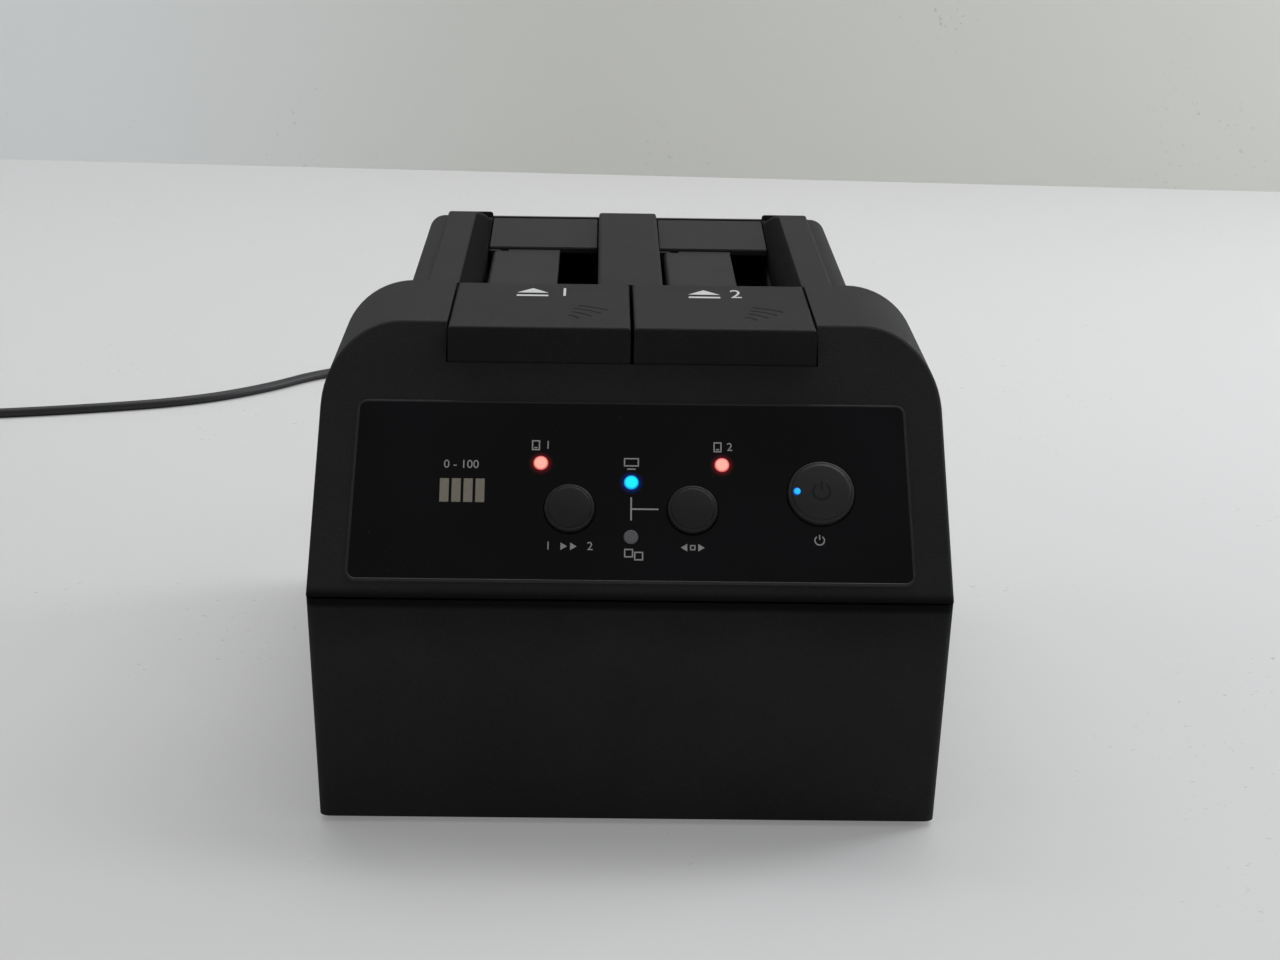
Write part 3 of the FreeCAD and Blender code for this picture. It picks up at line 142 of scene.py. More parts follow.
# ---------------------------------------------------------------- camera and lamps
def aim_camera():
    """Looks down on the panel from the front, a little to the left."""
    pitch, yaw, roll = (math.radians(angle) for angle in CAMERA_TURN)
    forward = Vector((math.sin(yaw) * math.cos(pitch), math.cos(yaw) * math.cos(pitch), -math.sin(pitch)))
    level = Vector((math.cos(yaw), -math.sin(yaw), 0.0))
    above = level.cross(forward)
    across = math.cos(roll) * level + math.sin(roll) * above
    up = math.cos(roll) * above - math.sin(roll) * level
    lens = bpy.data.cameras.new("bench_camera")
    lens.sensor_width = 36.0
    lens.lens = CAMERA_LENS
    lens.clip_start = 0.01
    lens.clip_end = 50.0
    camera = into_scene("bench_camera", lens)
    turn = Matrix((across, up, -forward)).transposed().to_4x4()
    camera.matrix_world = Matrix.Translation(CAMERA_PLACE) @ turn
    bpy.context.scene.camera = camera


def soft_lamp(name, place, target, size, watts, tint=(1.0, 1.0, 1.0)):
    """A rectangular soft box that faces its target and isn't seen itself."""
    lamp = bpy.data.lights.new(name, "AREA")
    lamp.shape = "RECTANGLE"
    lamp.size, lamp.size_y = size
    lamp.energy = watts
    lamp.color = tint
    holder = into_scene(name, lamp)
    holder.visible_camera = False
    holder.location = place
    holder.rotation_euler = (Vector(target) - Vector(place)).to_track_quat("-Z", "Y").to_euler()


def light_room():
    """Pale room light, a wide lamp high behind the object and one at each side."""
    world = bpy.data.worlds.new("pale_room")
    bpy.context.scene.world = world
    world.use_nodes = True
    sky = world.node_tree.nodes["Background"]
    sky.inputs["Color"].default_value = (0.97, 0.98, 1.0, 1.0)
    sky.inputs["Strength"].default_value = 0.35
    soft_lamp("back_lamp", (0.20, 0.55, 1.15), (0.0, 0.05, 0.05), (1.8, 0.6), 12.0)
    soft_lamp("right_lamp", (0.95, 0.42, 0.32), (0.05, 0.0, 0.10), (0.4, 0.5), 5.2, (0.92, 0.95, 1.0))
    soft_lamp("left_lamp", (-0.95, 0.25, 0.60), (0.0, 0.0, 0.08), (0.5, 0.9), 0.7)
    bpy.context.scene.view_settings.view_transform = "Standard"


# ---------------------------------------------------------------- finishes
def shaded(colour, factor):
    """The colour, made darker or brighter."""
    return tuple(c * factor for c in colour)


class Socket:
    """A node's output; arithmetic on it adds Math nodes to its finish."""

    def __init__(self, finish, socket):
        self.finish = finish
        self.socket = socket

    def __add__(self, other):
        return self.finish.math("ADD", self, other)

    def __sub__(self, other):
        return self.finish.math("SUBTRACT", self, other)

    def __rsub__(self, other):
        return self.finish.math("SUBTRACT", other, self)

    def __mul__(self, other):
        return self.finish.math("MULTIPLY", self, other)

    __radd__ = __add__
    __rmul__ = __mul__


class Finish:
    """One material, built from nodes around a Principled shader."""

    def __init__(self, name, **fixed):
        self.material = bpy.data.materials.new(name)
        self.material.use_nodes = True
        self.tree = self.material.node_tree
        self.shader = self.tree.nodes["Principled BSDF"]
        for socket, value in fixed.items():
            self.set(socket.replace("_", " "), value)

    def feed(self, socket, value):
        if isinstance(value, Socket):
            self.tree.links.new(value.socket, socket)
        elif isinstance(value, tuple) and len(value) == 3 and socket.type == "RGBA":
            socket.default_value = (*value, 1.0)
        else:
            socket.default_value = value

    def set(self, socket, value):
        self.feed(self.shader.inputs[socket], value)

    def node(self, kind, settings=None, inputs=None, output=0):
        made = self.tree.nodes.new(kind)
        for key, value in (settings or {}).items():
            setattr(made, key, value)
        for key, value in (inputs or {}).items():
            self.feed(made.inputs[key], value)
        return Socket(self, made.outputs[output])

    def math(self, operation, first, second):
        return self.node("ShaderNodeMath", {"operation": operation}, {0: first, 1: second})

    def magnitude(self, value):
        return self.math("ABSOLUTE", value, 0.0)

    def larger(self, first, second):
        return self.math("MAXIMUM", first, second)

    def place(self):
        """Where a point lies on its piece, in metres."""
        return self.node("ShaderNodeTexCoord", output="Object")

    def axis(self, index):
        """One of a point's three distances from its piece's origin: 0 across, 1 back, 2 up."""
        return self.node("ShaderNodeSeparateXYZ", None, {0: self.place()}, output=index)

    def distance(self, centre):
        """How far a point lies from the centre."""
        inputs = {0: self.place(), 1: tuple(centre)}
        return self.node("ShaderNodeVectorMath", {"operation": "DISTANCE"}, inputs, output="Value")

    def noise(self, scale, detail=2.0, roughness=0.5):
        inputs = {"Vector": self.place(), "Scale": scale, "Detail": detail, "Roughness": roughness}
        return self.node("ShaderNodeTexNoise", None, inputs)

    def mix(self, factor, first, second):
        inputs = {0: factor, 6: first, 7: second}
        return self.node("ShaderNodeMix", {"data_type": "RGBA"}, inputs, output=2)

    def mottle(self, factor, colour, low, high):
        """Goes between two strengths of one colour."""
        return self.mix(factor, shaded(colour, low), shaded(colour, high))

    def fade(self, value, low, high):
        """Rises from 0 to 1 as the value goes from low to high."""
        inputs = {"Value": value, "From Min": low, "From Max": high}
        return self.node("ShaderNodeMapRange", {"interpolation_type": "SMOOTHSTEP"}, inputs)

    def stretch(self, value, start, full, last, end):
        """Rises from 0 to 1 between start and full, and falls again between last and end."""
        return self.fade(value, start, full) * self.fade(value, end, last)

    def specks(self, fine, low, high, patches, patch_low, patch_high):
        """Fine specks that lie in patches."""
        return self.fade(fine, low, high) * self.fade(patches, patch_low, patch_high)

    def bump(self, height, depth):
        inputs = {"Height": height, "Distance": depth, "Strength": 1.0}
        self.set("Normal", self.node("ShaderNodeBump", None, inputs))

    def blend_with(self, factor, other):
        """Puts another shader over the Principled one, by the factor."""
        inputs = {0: factor, 1: Socket(self, self.shader.outputs[0]), 2: other}
        blend = self.node("ShaderNodeMixShader", None, inputs)
        self.tree.links.new(blend.socket, self.tree.nodes["Material Output"].inputs["Surface"])


def moulded_black(name, shade, gloss, grain, depth, level, painted_shade=None):
    """Black moulded plastic with a spark-eroded grain, handled and slightly dusty."""
    finish = Finish(name, Specular_IOR_Level=level)
    pits = finish.node("ShaderNodeTexVoronoi", {"feature": "SMOOTH_F1"},
                       {"Vector": finish.place(), "Scale": 1.0 / grain})
    fine = finish.noise(2.6 / grain, 3.0, 0.6)
    handled = finish.fade(finish.noise(22.0, 4.0, 0.6), 0.35, 0.72)
    dust = finish.specks(finish.noise(900.0, 2.0), 0.70, 0.78, finish.noise(60.0), 0.5, 0.7)
    speckle = finish.noise(1.1 / grain, 1.0)
    colour = finish.mottle(0.7 * speckle + 0.3 * handled, shade, 0.62, 1.38)
    colour = finish.mix(dust * 0.5, colour, (0.05, 0.05, 0.05))
    rough = gloss + 0.06 * handled + 0.05 * fine
    # painted shade: where the mask is full, the colour goes near black and the gloss is dulled
    if painted_shade:
        shade_mask = painted_shade(finish)
        colour = finish.mix(shade_mask, colour, (0.0025, 0.0025, 0.0026))
        rough = rough + 0.4 * shade_mask
    finish.set("Base Color", colour)
    finish.set("Roughness", rough)
    finish.bump(pits * 0.7 + fine * 0.5, depth)
    return finish.material


def shell_painted_shade(finish):
    """Painted shade: a dark band in the seam's groove, a fainter one on the tray's lip under it, and dark
    on the outer rails' steep inner faces.
    """
    height = finish.axis(2)
    groove = finish.fade(finish.magnitude(height - SEAM_GROOVE), 0.0030, 0.0008)
    lip = finish.stretch(height, *TRAY_LIP)
    across = finish.magnitude(finish.axis(0))
    rail = finish.stretch(across, *RAIL_ACROSS) * finish.stretch(finish.axis(1), *RAIL_ALONG)
    rail = rail * finish.fade(height, 0.0990, 0.1010)
    return finish.larger(finish.larger(groove * 0.85, lip * 0.3), rail)


def polished_black():
    """The control panel's gloss plate, with faint wipe marks and light that spills into it."""
    dark = (0.0012, 0.0011, 0.0014)
    finish = Finish("polished_black", Specular_IOR_Level=0.16)
    wiped = finish.fade(finish.noise(35.0, 5.0, 0.7), 0.45, 0.75)
    specks = finish.specks(finish.noise(1400.0, 1.0), 0.76, 0.80, finish.noise(90.0), 0.50, 0.62)
    finish.set("Roughness", 0.10 + 0.12 * wiped + 0.3 * specks)
    cloud = finish.fade(finish.noise(26.0, 2.0, 0.4), 0.42, 0.72)
    hazy = finish.mix(cloud, dark, (0.0032, 0.0027, 0.0042))
    finish.set("Base Color", finish.mix(specks, hazy, (0.02, 0.02, 0.02)))
    spill = (0.0, 0.0, 0.0)
    for name, shade in SPILL.items():
        near = finish.fade(finish.distance(lens_centre(name)), 0.0034, 0.0015)
        spill = finish.mix(near * near, spill, shade)
    finish.set("Emission Color", spill)
    finish.set("Emission Strength", 1.0)
    return finish.material


def plain_plastic(name, shade, gloss, level=0.4):
    """Plain moulded plastic with a faint orange-peel surface."""
    finish = Finish(name, Specular_IOR_Level=level)
    flow = finish.noise(130.0, 3.0)
    finish.set("Base Color", finish.mottle(flow, shade, 0.85, 1.12))
    finish.set("Roughness", gloss + 0.08 * flow)
    finish.bump(finish.noise(1800.0, 2.0), 0.00002)
    return finish.material


def lens_centre(name):
    """Middle of a round light's face on the panel."""
    low, high = (Vector(corner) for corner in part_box(name))
    middle = (low + high) / 2
    up_slope = (middle - SEAM_FRONT).dot(slope_place(0.0, 1.0) - SEAM_FRONT)
    return slope_place(middle.x, up_slope, KEY_LENS_TOP if name == "power_light" else LENS_TOP)


def lit_lens(name):
    """A lens over a lamp: brightest at its heart, tinted towards its rim."""
    edge, heart, reach = LENSES[name]
    finish = Finish(name + "_lens", Roughness=0.35, Base_Color=shaded(edge, 0.3), Specular_IOR_Level=0.2)
    rim = finish.fade(finish.distance(lens_centre(name)), reach * 0.62, reach)
    finish.set("Emission Color", finish.mix(rim, heart, edge))
    finish.set("Emission Strength", 1.0)
    return finish.material


def frosted_lens(name, shade):
    """An unlit frosted lens."""
    finish = Finish(name, Specular_IOR_Level=0.4)
    cloud = finish.noise(1500.0, 2.0)
    finish.set("Base Color", finish.mottle(cloud, shade, 0.8, 1.15))
    finish.set("Roughness", 0.38 + 0.15 * cloud)
    return finish.material


def print_ink(name, shade):
    """Screen-printed ink, a little thin in places."""
    finish = Finish(name, Specular_IOR_Level=0.3)
    thin = finish.noise(2400.0, 2.0)
    finish.set("Base Color", finish.mottle(thin, shade, 0.82, 1.1))
    finish.set("Roughness", 0.5 + 0.1 * thin)
    return finish.material


def worked_metal(name, shade, gloss):
    """Bright metal with fine drawing marks and a few dull spots."""
    finish = Finish(name, Metallic=1.0)
    marks = finish.noise(2600.0, 3.0, 0.7)
    dull = finish.fade(finish.noise(240.0, 3.0), 0.4, 0.7)
    finish.set("Base Color", finish.mottle(dull, shade, 1.0, 0.72))
    finish.set("Roughness", gloss + 0.12 * marks + 0.10 * dull)
    finish.bump(marks, 0.000015)
    return finish.material


def solder_mask():
    """Green circuit board with copper runs under its mask."""
    finish = Finish("solder_mask", Specular_IOR_Level=0.5)
    runs = finish.node("ShaderNodeTexVoronoi", {"distance": "CHEBYCHEV"},
                       {"Vector": finish.place(), "Scale": 260.0})
    copper = finish.fade(runs, 0.46, 0.50)
    finish.set("Base Color", finish.mix(copper, (0.006, 0.060, 0.022), (0.020, 0.130, 0.045)))
    finish.set("Roughness", 0.28 + 0.1 * finish.noise(300.0))
    finish.bump(copper, 0.00003)
    return finish.material


def lead_rubber(name, shade, gloss):
    """Soft black jacket, smooth with a faint drag."""
    finish = Finish(name, Specular_IOR_Level=0.4)
    drag = finish.noise(420.0, 3.0, 0.6)
    finish.set("Base Color", finish.mottle(drag, shade, 0.8, 1.3))
    finish.set("Roughness", gloss + 0.12 * drag)
    finish.bump(finish.noise(1500.0, 2.0), 0.00002)
    return finish.material


def pale_paint(name, shade, painted_far_shade, axis, near, far, patch=0.012):
    """Pale matt paint with faint clouds and a few pits; its slow change along one axis is painted shade."""
    finish = Finish(name, Specular_IOR_Level=0.25)
    cloud = finish.noise(2.2, 4.0)
    colour = finish.mix(cloud, tuple(c - patch for c in shade), tuple(c + patch for c in shade))
    # painted shade: the colour moves towards the far shade along the axis
    colour = finish.mix(finish.fade(finish.axis(axis), near, far), colour, painted_far_shade)
    pits = finish.specks(finish.noise(330.0, 3.0, 0.6), 0.655, 0.70, finish.noise(9.0, 2.0), 0.50, 0.62)
    colour = finish.mix(pits * 0.35, colour, shaded(shade, 0.35))
    finish.set("Base Color", colour)
    finish.set("Roughness", 0.6 + 0.1 * finish.noise(40.0))
    return finish, colour


def table_paint():
    """The table's pale paint, with painted shade that darkens it towards the back; seen directly, a share
    of it is lifted to its own tone.
    """
    finish, colour = pale_paint("table_paint", (0.70, 0.70, 0.70), (0.672, 0.672, 0.672), 1, -0.15, 0.12)
    seen = finish.node("ShaderNodeLightPath", output="Is Camera Ray")
    strength = TABLE_LIFT / (1.0 - TABLE_SHARE)
    lifted = finish.node("ShaderNodeEmission", None, {"Color": colour, "Strength": strength})
    finish.blend_with(seen * (1.0 - TABLE_SHARE), lifted)
    return finish.material


def wall_paint():
    """The wall's pale paint, with painted light and shade from bright at the left to darker at the right; a
    view from behind the wall passes through it.
    """
    finish = pale_paint("wall_paint", (0.865, 0.882, 0.884), (0.640, 0.644, 0.600), 0, -0.36, 0.02)[0]
    seen = finish.node("ShaderNodeLightPath", output="Is Camera Ray")
    behind = finish.node("ShaderNodeNewGeometry", output="Backfacing")
    finish.blend_with(seen * behind, finish.node("ShaderNodeBsdfTransparent"))
    return finish.material


# ---------------------------------------------------------------- small builders
def slope_place(u, v, w=0.0):
    """A point of the sloping face: across, up the slope and out of it."""
    lean = Matrix.Rotation(SLOPE_LEAN, 3, "X")
    return SEAM_FRONT + lean @ Vector((u, v, w))


def hang(name, mesh, material, body):
    """Puts a finished mesh in the scene, on the body that it moves with."""
    coat(mesh, material)
    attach(into_scene(name, mesh), body)


def hang_form(name, form, material, body):
    """Turns a form's faces outward, makes it a mesh and hangs it on its body."""
    bmesh.ops.recalc_face_normals(form, faces=form.faces[:])
    mesh = bpy.data.meshes.new(name)
    form.to_mesh(mesh)
    form.free()
    hang(name, mesh, material, body)


def add_mesh(name, vertices, faces, material, body, smooth=False):
    """A piece from its corners and its faces."""
    mesh = bpy.data.meshes.new(name)
    mesh.from_pydata([tuple(v) for v in vertices], [], faces)
    mesh.validate()
    mesh.update()
    if smooth:
        mesh.polygons.foreach_set("use_smooth", [True] * len(mesh.polygons))
    hang(name, mesh, material, body)


def stand_in(name, mesh, node, material, body):
    """Puts a copy of a node's mesh in that node's place, with its own finish and name."""
    coat(mesh, material)
    piece = into_scene(name, mesh)
    piece.matrix_world = NODES[node].matrix_world
    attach(piece, body)
    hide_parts(node)
    return piece


def print_outlines(name, outlines, place, material, body):
    """Closed thin plates from flat outlines, laid on a face by the place function."""
    form = bmesh.new()
    for outline in outlines:
        below = [form.verts.new(place(x, y, 0.0)) for x, y in outline]
        above = [form.verts.new(place(x, y, PRINT_RISE)) for x, y in outline]
        form.faces.new(above)
        form.faces.new(below[::-1])
        count = len(outline)
        for i in range(count):
            j = (i + 1) % count
            form.faces.new((below[i], below[j], above[j], above[i]))
    bmesh.ops.triangulate(form, faces=form.faces[:])
    hang_form(name, form, material, body)


def bar(x0, y0, x1, y1, width):
    """A straight stroke as an outline."""
    along = Vector((x1 - x0, y1 - y0)).normalized() * (width / 2)
    side = Vector((-along.y, along.x))
    ends = [(x0, y0), (x0, y0), (x1, y1), (x1, y1)]
    return [(x + k * side.x, y + k * side.y) for (x, y), k in zip(ends, (1, -1, -1, 1))]


def arc_stroke(centre, radius, first, last, width, steps=24):
    """A curved stroke as an outline, between two angles in degrees."""
    x, y = centre
    angles = [math.radians(first + (last - first) * i / steps) for i in range(steps + 1)]
    far, near = radius + width / 2, radius - width / 2
    outer = [(x + far * math.cos(a), y + far * math.sin(a)) for a in angles]
    inner = [(x + near * math.cos(a), y + near * math.sin(a)) for a in angles]
    return outer + inner[::-1]


def rounded_loop(corners, radius, steps=6):
    """A closed outline through corners, each softened by an arc."""
    points = []
    count = len(corners)
    for i in range(count):
        corner = Vector(corners[i])
        before = (Vector(corners[i - 1]) - corner).normalized()
        after = (Vector(corners[(i + 1) % count]) - corner).normalized()
        half = before.angle(after) / 2
        centre = corner + (before + after).normalized() * (radius / math.sin(half))
        first = corner + before * (radius / math.tan(half)) - centre
        last = corner + after * (radius / math.tan(half)) - centre
        turn = first.angle_signed(last)
        start = math.atan2(first.y, first.x)
        for step in range(steps + 1):
            angle = start - turn * step / steps
            points.append(centre + radius * Vector((math.cos(angle), math.sin(angle))))
    return points


def loop_trim(name, loop, section, place, material, body):
    """A thin strip round a closed loop: its section is (outward, upward) points."""
    count = len(loop)
    sides = len(section)
    vertices = []
    for i in range(count):
        along = (loop[(i + 1) % count] - loop[i - 1]).normalized()
        outward = Vector((along.y, -along.x))
        for out, rise in section:
            spot = loop[i] + outward * out
            vertices.append(place(spot.x, spot.y, rise))
    faces = []
    for i in range(count):
        j = (i + 1) % count
        for k in range(sides):
            n = (k + 1) % sides
            faces.append((i * sides + k, i * sides + n, j * sides + n, j * sides + k))
    add_mesh(name, vertices, faces, material, body)


def dome_height(distance, base, crown):
    """Height of a shallow dome above its rim."""
    return crown * (1.0 - (distance / base) ** 2)


def domed_cap(name, centre, base, crown, place, material, body, rings=10, around=64):
    """A shallow domed top for a round key."""
    vertices = [place(centre[0], centre[1], crown)]
    for ring in range(1, rings + 1):
        distance = base * ring / rings
        for step in range(around):
            angle = 2.0 * math.pi * step / around
            x = centre[0] + distance * math.cos(angle)
            y = centre[1] + distance * math.sin(angle)
            vertices.append(place(x, y, dome_height(distance, base, crown)))
    faces = [(0, 1 + step, 1 + (step + 1) % around) for step in range(around)]
    for ring in range(rings - 1):
        low = 1 + ring * around
        for step in range(around):
            following = (step + 1) % around
            faces.append((low + step, low + around + step, low + around + following, low + following))
    faces.append(tuple(1 + (rings - 1) * around + step for step in reversed(range(around))))
    add_mesh(name, vertices, faces, material, body, smooth=True)


# ---------------------------------------------------------------- panel and keys
def on_panel(u, v, w):
    """A place on the control panel's face."""
    return slope_place(u, v, PANEL_TOP + w)


def on_button(u, v, w):
    """A place on a panel key's rim, where its dome starts."""
    return slope_place(u, v, PANEL_TOP + BUTTON_RISE + w)


def dress_panel(trim, caps, lens):
    """A polished trim round the panel, and shallow domes on its three keys and the power key's light."""
    loop = rounded_loop(PANEL_CORNERS, PANEL_CORNER_RADIUS)
    loop_trim("panel_trim", loop, TRIM_SECTION, slope_place, trim, "housing")
    for name, (u, v, radius, crown) in KEY_DOMES.items():
        domed_cap(name + "_dome", (u, v), radius, crown, on_button, caps[name], name)

    def on_dome(u, v, w):
        return on_button(u, v, w + KEY_LENS_LIFT)

    u, v = KEY_DOMES["power_button"][:2]
    centre = (u - KEY_LENS_LEFT, v)
    domed_cap("power_light_dome", centre, KEY_LENS_RADIUS, KEY_LENS_CROWN, on_dome, lens, "power_button")


def soften_ridges(key, material):
    """The eject key with its finger ridges worn down almost flat."""
    worn = NODES[key].data.copy()
    for vertex in worn.vertices:
        if vertex.co.z > DECK_TOP + 0.00001:
            vertex.co.z = DECK_TOP + (vertex.co.z - DECK_TOP) * 0.05
    stand_in(key + "_worn", worn, key, material, key)


def shortening_spring(side, material):
    """The eject key's return spring, as its own copy of the mesh, hung on the housing."""
    node = side + "_eject_spring"
    mesh = NODES[node].data.copy()
    coils = stand_in(side + "_key_spring", mesh, node, material, "housing")
    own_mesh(coils)


def standby_sign(x, y, radius, width):
    """The usual open ring with an upright stroke."""
    ring = arc_stroke((x, y), radius, 125, 415, width)
    return [ring, bar(x, y + radius * 0.15, x, y + radius * 1.25, width)]


def frame_sign(x, y, half_x, half_y):
    """An open rectangle of four strokes."""
    across = half_x + STROKE / 2
    return [
        bar(x - across, y - half_y, x + across, y - half_y, STROKE),
        bar(x - across, y + half_y, x + across, y + half_y, STROKE),
        bar(x - half_x, y - half_y, x - half_x, y + half_y, STROKE),
        bar(x + half_x, y - half_y, x + half_x, y + half_y, STROKE),
    ]


def lay_figures(name, figures, height, place, material, body):
    """Plain numerals as one thin mesh: each entry is a text and its middle."""
    form = bmesh.new()
    for text, x, y in figures:
        letters = bpy.data.curves.new("figures", "FONT")
        letters.body = text
        letters.size = height / FIGURE_SHARE
        letters.align_x = "CENTER"
        letters.align_y = "CENTER"
        letters.extrude = PRINT_RISE / 2
        holder = into_scene("figures", letters)
        bpy.context.view_layer.update()
        mesh = bpy.data.meshes.new_from_object(holder)
        for vertex in mesh.vertices:
            vertex.co = place(vertex.co.x + x, vertex.co.y + y, vertex.co.z + PRINT_RISE / 2)
        form.from_mesh(mesh)
        bpy.data.meshes.remove(mesh)
        bpy.data.objects.remove(holder)
        bpy.data.curves.remove(letters)
    bmesh.ops.remove_doubles(form, verts=form.verts[:], dist=1e-7)
    hang_form(name, form, material, body)


def drive_sign(x, y):
    """A small upright drive: a frame with a line across its foot."""
    line = bar(x - 0.0004, y - 0.0006, x + 0.0004, y - 0.0006, STROKE)
    return frame_sign(x, y, 0.0008, 0.0011) + [line]


def screen_sign(x, y):
    """A small screen: a wide frame with its foot under it."""
    foot = bar(x - 0.0010, y - 0.0017, x + 0.0010, y - 0.0017, STROKE)
    return frame_sign(x, y, 0.0016, 0.0009) + [foot]


def arrow_sign(x, y, reach):
    """A filled triangle that points along its reach."""
    half = abs(reach) * 0.62
    tips = [(x - reach / 2, y - half), (x + reach / 2, y), (x - reach / 2, y + half)]
    return [tips if reach > 0 else tips[::-1]]


def print_panel(ink, sunk_ink):
    """Plain numerals and signs on the control panel, and the painted shade of the sunk sign on its power
    key.
    """
    key_u, key_v, rim, crown = KEY_DOMES["power_button"]

    def on_power_dome(u, v, w):
        return on_button(u, v, dome_height(math.hypot(u - key_u, v - key_v), rim, crown) + w)

    figures = [("1", -0.0194, DRIVE_ROW), ("2", 0.0228, DRIVE_ROW), ("0 - 100", -0.0394, RANGE_ROW)]
    figures += [("1", -0.0190, MODE_ROW), ("2", -0.0094, MODE_ROW)]
    lay_figures("panel_figures", figures, 0.0020, on_panel, ink, "housing")

    wide = STROKE * 1.2
    signs = [bar(0.0, 0.0196, 0.0, 0.0253, wide), bar(STROKE / 2, 0.0224, 0.0063, 0.0224, wide)]
    signs += drive_sign(-0.0222, DRIVE_ROW) + drive_sign(0.0200, DRIVE_ROW)
    signs += screen_sign(0.0, 0.0340)
    signs += frame_sign(-0.0005, 0.0116, 0.0009, 0.0009) + frame_sign(0.0018, 0.0109, 0.0009, 0.0009)
    for x, reach in ((-0.0154, 0.0015), (-0.0132, 0.0015), (0.0122, -0.0015), (0.0162, 0.0015)):
        signs += arrow_sign(x, MODE_ROW, reach)
    signs += frame_sign(0.0142, MODE_ROW, 0.0005, 0.0005)
    signs += standby_sign(0.0434, 0.0152, 0.0011, STROKE)
    print_outlines("panel_signs", signs, on_panel, ink, "housing")

    # painted shade: the sunk standby sign on the power key, drawn as a dark plate
    power_sign = standby_sign(key_u, key_v, 0.0020, 0.0005)
    print_outlines("power_key_sign", power_sign, on_power_dome, sunk_ink, "power_button")


def print_keys(ink, grip_shade_ink):
    """An eject sign, a numeral and thin dark arcs of painted shade where the grip ridges lie, on each eject
    key.
    """
    def on_key(x, y, z):
        return Vector((x, y, DECK_TOP + z))

    for side, figure in (("source", "1"), ("target", "2")):
        middle = KEY_MIDDLES[side]

        def on_sign_row(x, y, z):
            return on_key(middle + x, KEY_SIGN_ROW + y * KEY_SIGN_STRETCH, z)

        key = side + "_eject_button"
        lay_figures(side + "_key_figure", [(figure, 0.0050, 0.0)], 0.0044, on_sign_row, ink, key)
        sign = [[(-0.0068, -0.0003), (0.0010, -0.0003), (-0.0029, 0.0022)]]
        sign += [bar(-0.0068, -0.0018, 0.0010, -0.0018, 0.0008)]
        print_outlines(side + "_key_sign", sign, on_sign_row, ink, key)
        root = (middle + GRIP_ROOT[0], GRIP_ROOT[1])
        # painted shade: thin dark arcs that stand in for the shade of the grip ridges
        lines = [arc_stroke(root, radius, first, last, GRIP_WIDTH) for radius, first, last in GRIP_ARCS]
        print_outlines(side + "_key_grip", lines, on_key, grip_shade_ink, key)


# ---------------------------------------------------------------- table and wall
def stage_sheet(name, corners, material):
    """A flat stretch of table or wall."""
    mesh = bpy.data.meshes.new(name)
    mesh.from_pydata(corners, [], [tuple(range(len(corners)))])
    mesh.update()
    coat(mesh, material)
    into_scene(name, mesh)


def lay_table():
    """A pale table that meets a pale wall behind the object."""
    left, right = -STAGE_REACH, STAGE_REACH
    left_y = WALL_DISTANCE + WALL_SKEW * STAGE_REACH
    right_y = WALL_DISTANCE - WALL_SKEW * STAGE_REACH
    table = table_paint()
    wall = wall_paint()
    floor = [(left, -STAGE_REACH, 0), (right, -STAGE_REACH, 0), (right, right_y, 0), (left, left_y, 0)]
    stage_sheet("table_top", floor, table)
    face = [(left, left_y, 0), (right, right_y, 0)]
    face += [(right, right_y, WALL_HEIGHT), (left, left_y, WALL_HEIGHT)]
    stage_sheet("wall_face", face, wall)


# ---------------------------------------------------------------- supply lead
# The lead's middle: out of the jack, down to the table, back and round, then out to the left.
LEAD_ROUTE = [
    (-0.0470, 0.1303, 0.0351),
    (-0.0470, 0.1460, 0.0351),
    (-0.0475, 0.1660, 0.0220),
    (-0.0480, 0.1800, 0.0060),
    (-0.0485, 0.1980, 0.00175),
    (-0.0475, 0.2280, 0.00175),
    (-0.0460, 0.2680, 0.00175),
    (-0.0500, 0.3100, 0.00175),
    (-0.0640, 0.3460, 0.00175),
    (-0.0880, 0.3660, 0.00175),
    (-0.1140, 0.3520, 0.00175),
    (-0.1330, 0.3250, 0.00175),
    (-0.1580, 0.3040, 0.00175),
    (-0.1960, 0.2900, 0.00175),
    (-0.2300, 0.2810, 0.00175),
]
COIL_CENTRE = (-0.256, 0.249)
COIL_OUTER = 0.0264                              # radius of the lead's middle where it enters and leaves
COIL_INNER = 0.0150                              # and in the tightest turn
COIL_TURNS = 3                                   # in each of the two layers
COIL_FIRST_ANGLE = 97.0                          # degrees, where the lead enters
COIL_LAST_ANGLE = 180.0                          # where it leaves
COIL_STEPS = 16                                  # points in a turn
LAYER_GAP = 0.0001                               # under each layer
TIE_THICKNESS = 0.0007
TIE_HALF_WIDTH = 0.0045
TIE_ANGLE = 38.0                                 # degrees round the coil


def coil_points():
    """Two flat layers of turns: in along the table, then back out on top."""
    total = COIL_TURNS * 720.0 + COIL_LAST_ANGLE - COIL_FIRST_ANGLE
    count = round(total / 360.0 * COIL_STEPS)
    points = []
    for i in range(count + 1):
        share = i / count
        inward = 1.0 - abs(2.0 * share - 1.0)
        radius = COIL_OUTER - (COIL_OUTER - COIL_INNER) * inward
        climb = min(max((share - 0.485) / 0.03, 0.0), 1.0)
        height = LEAD_THICKNESS / 2 + LAYER_GAP + climb * (LEAD_THICKNESS + LAYER_GAP)
        angle = math.radians(COIL_FIRST_ANGLE + total * share)
        x, y = radius * math.cos(angle), radius * math.sin(angle)
        points.append((COIL_CENTRE[0] + x, COIL_CENTRE[1] + y, height))
    return points


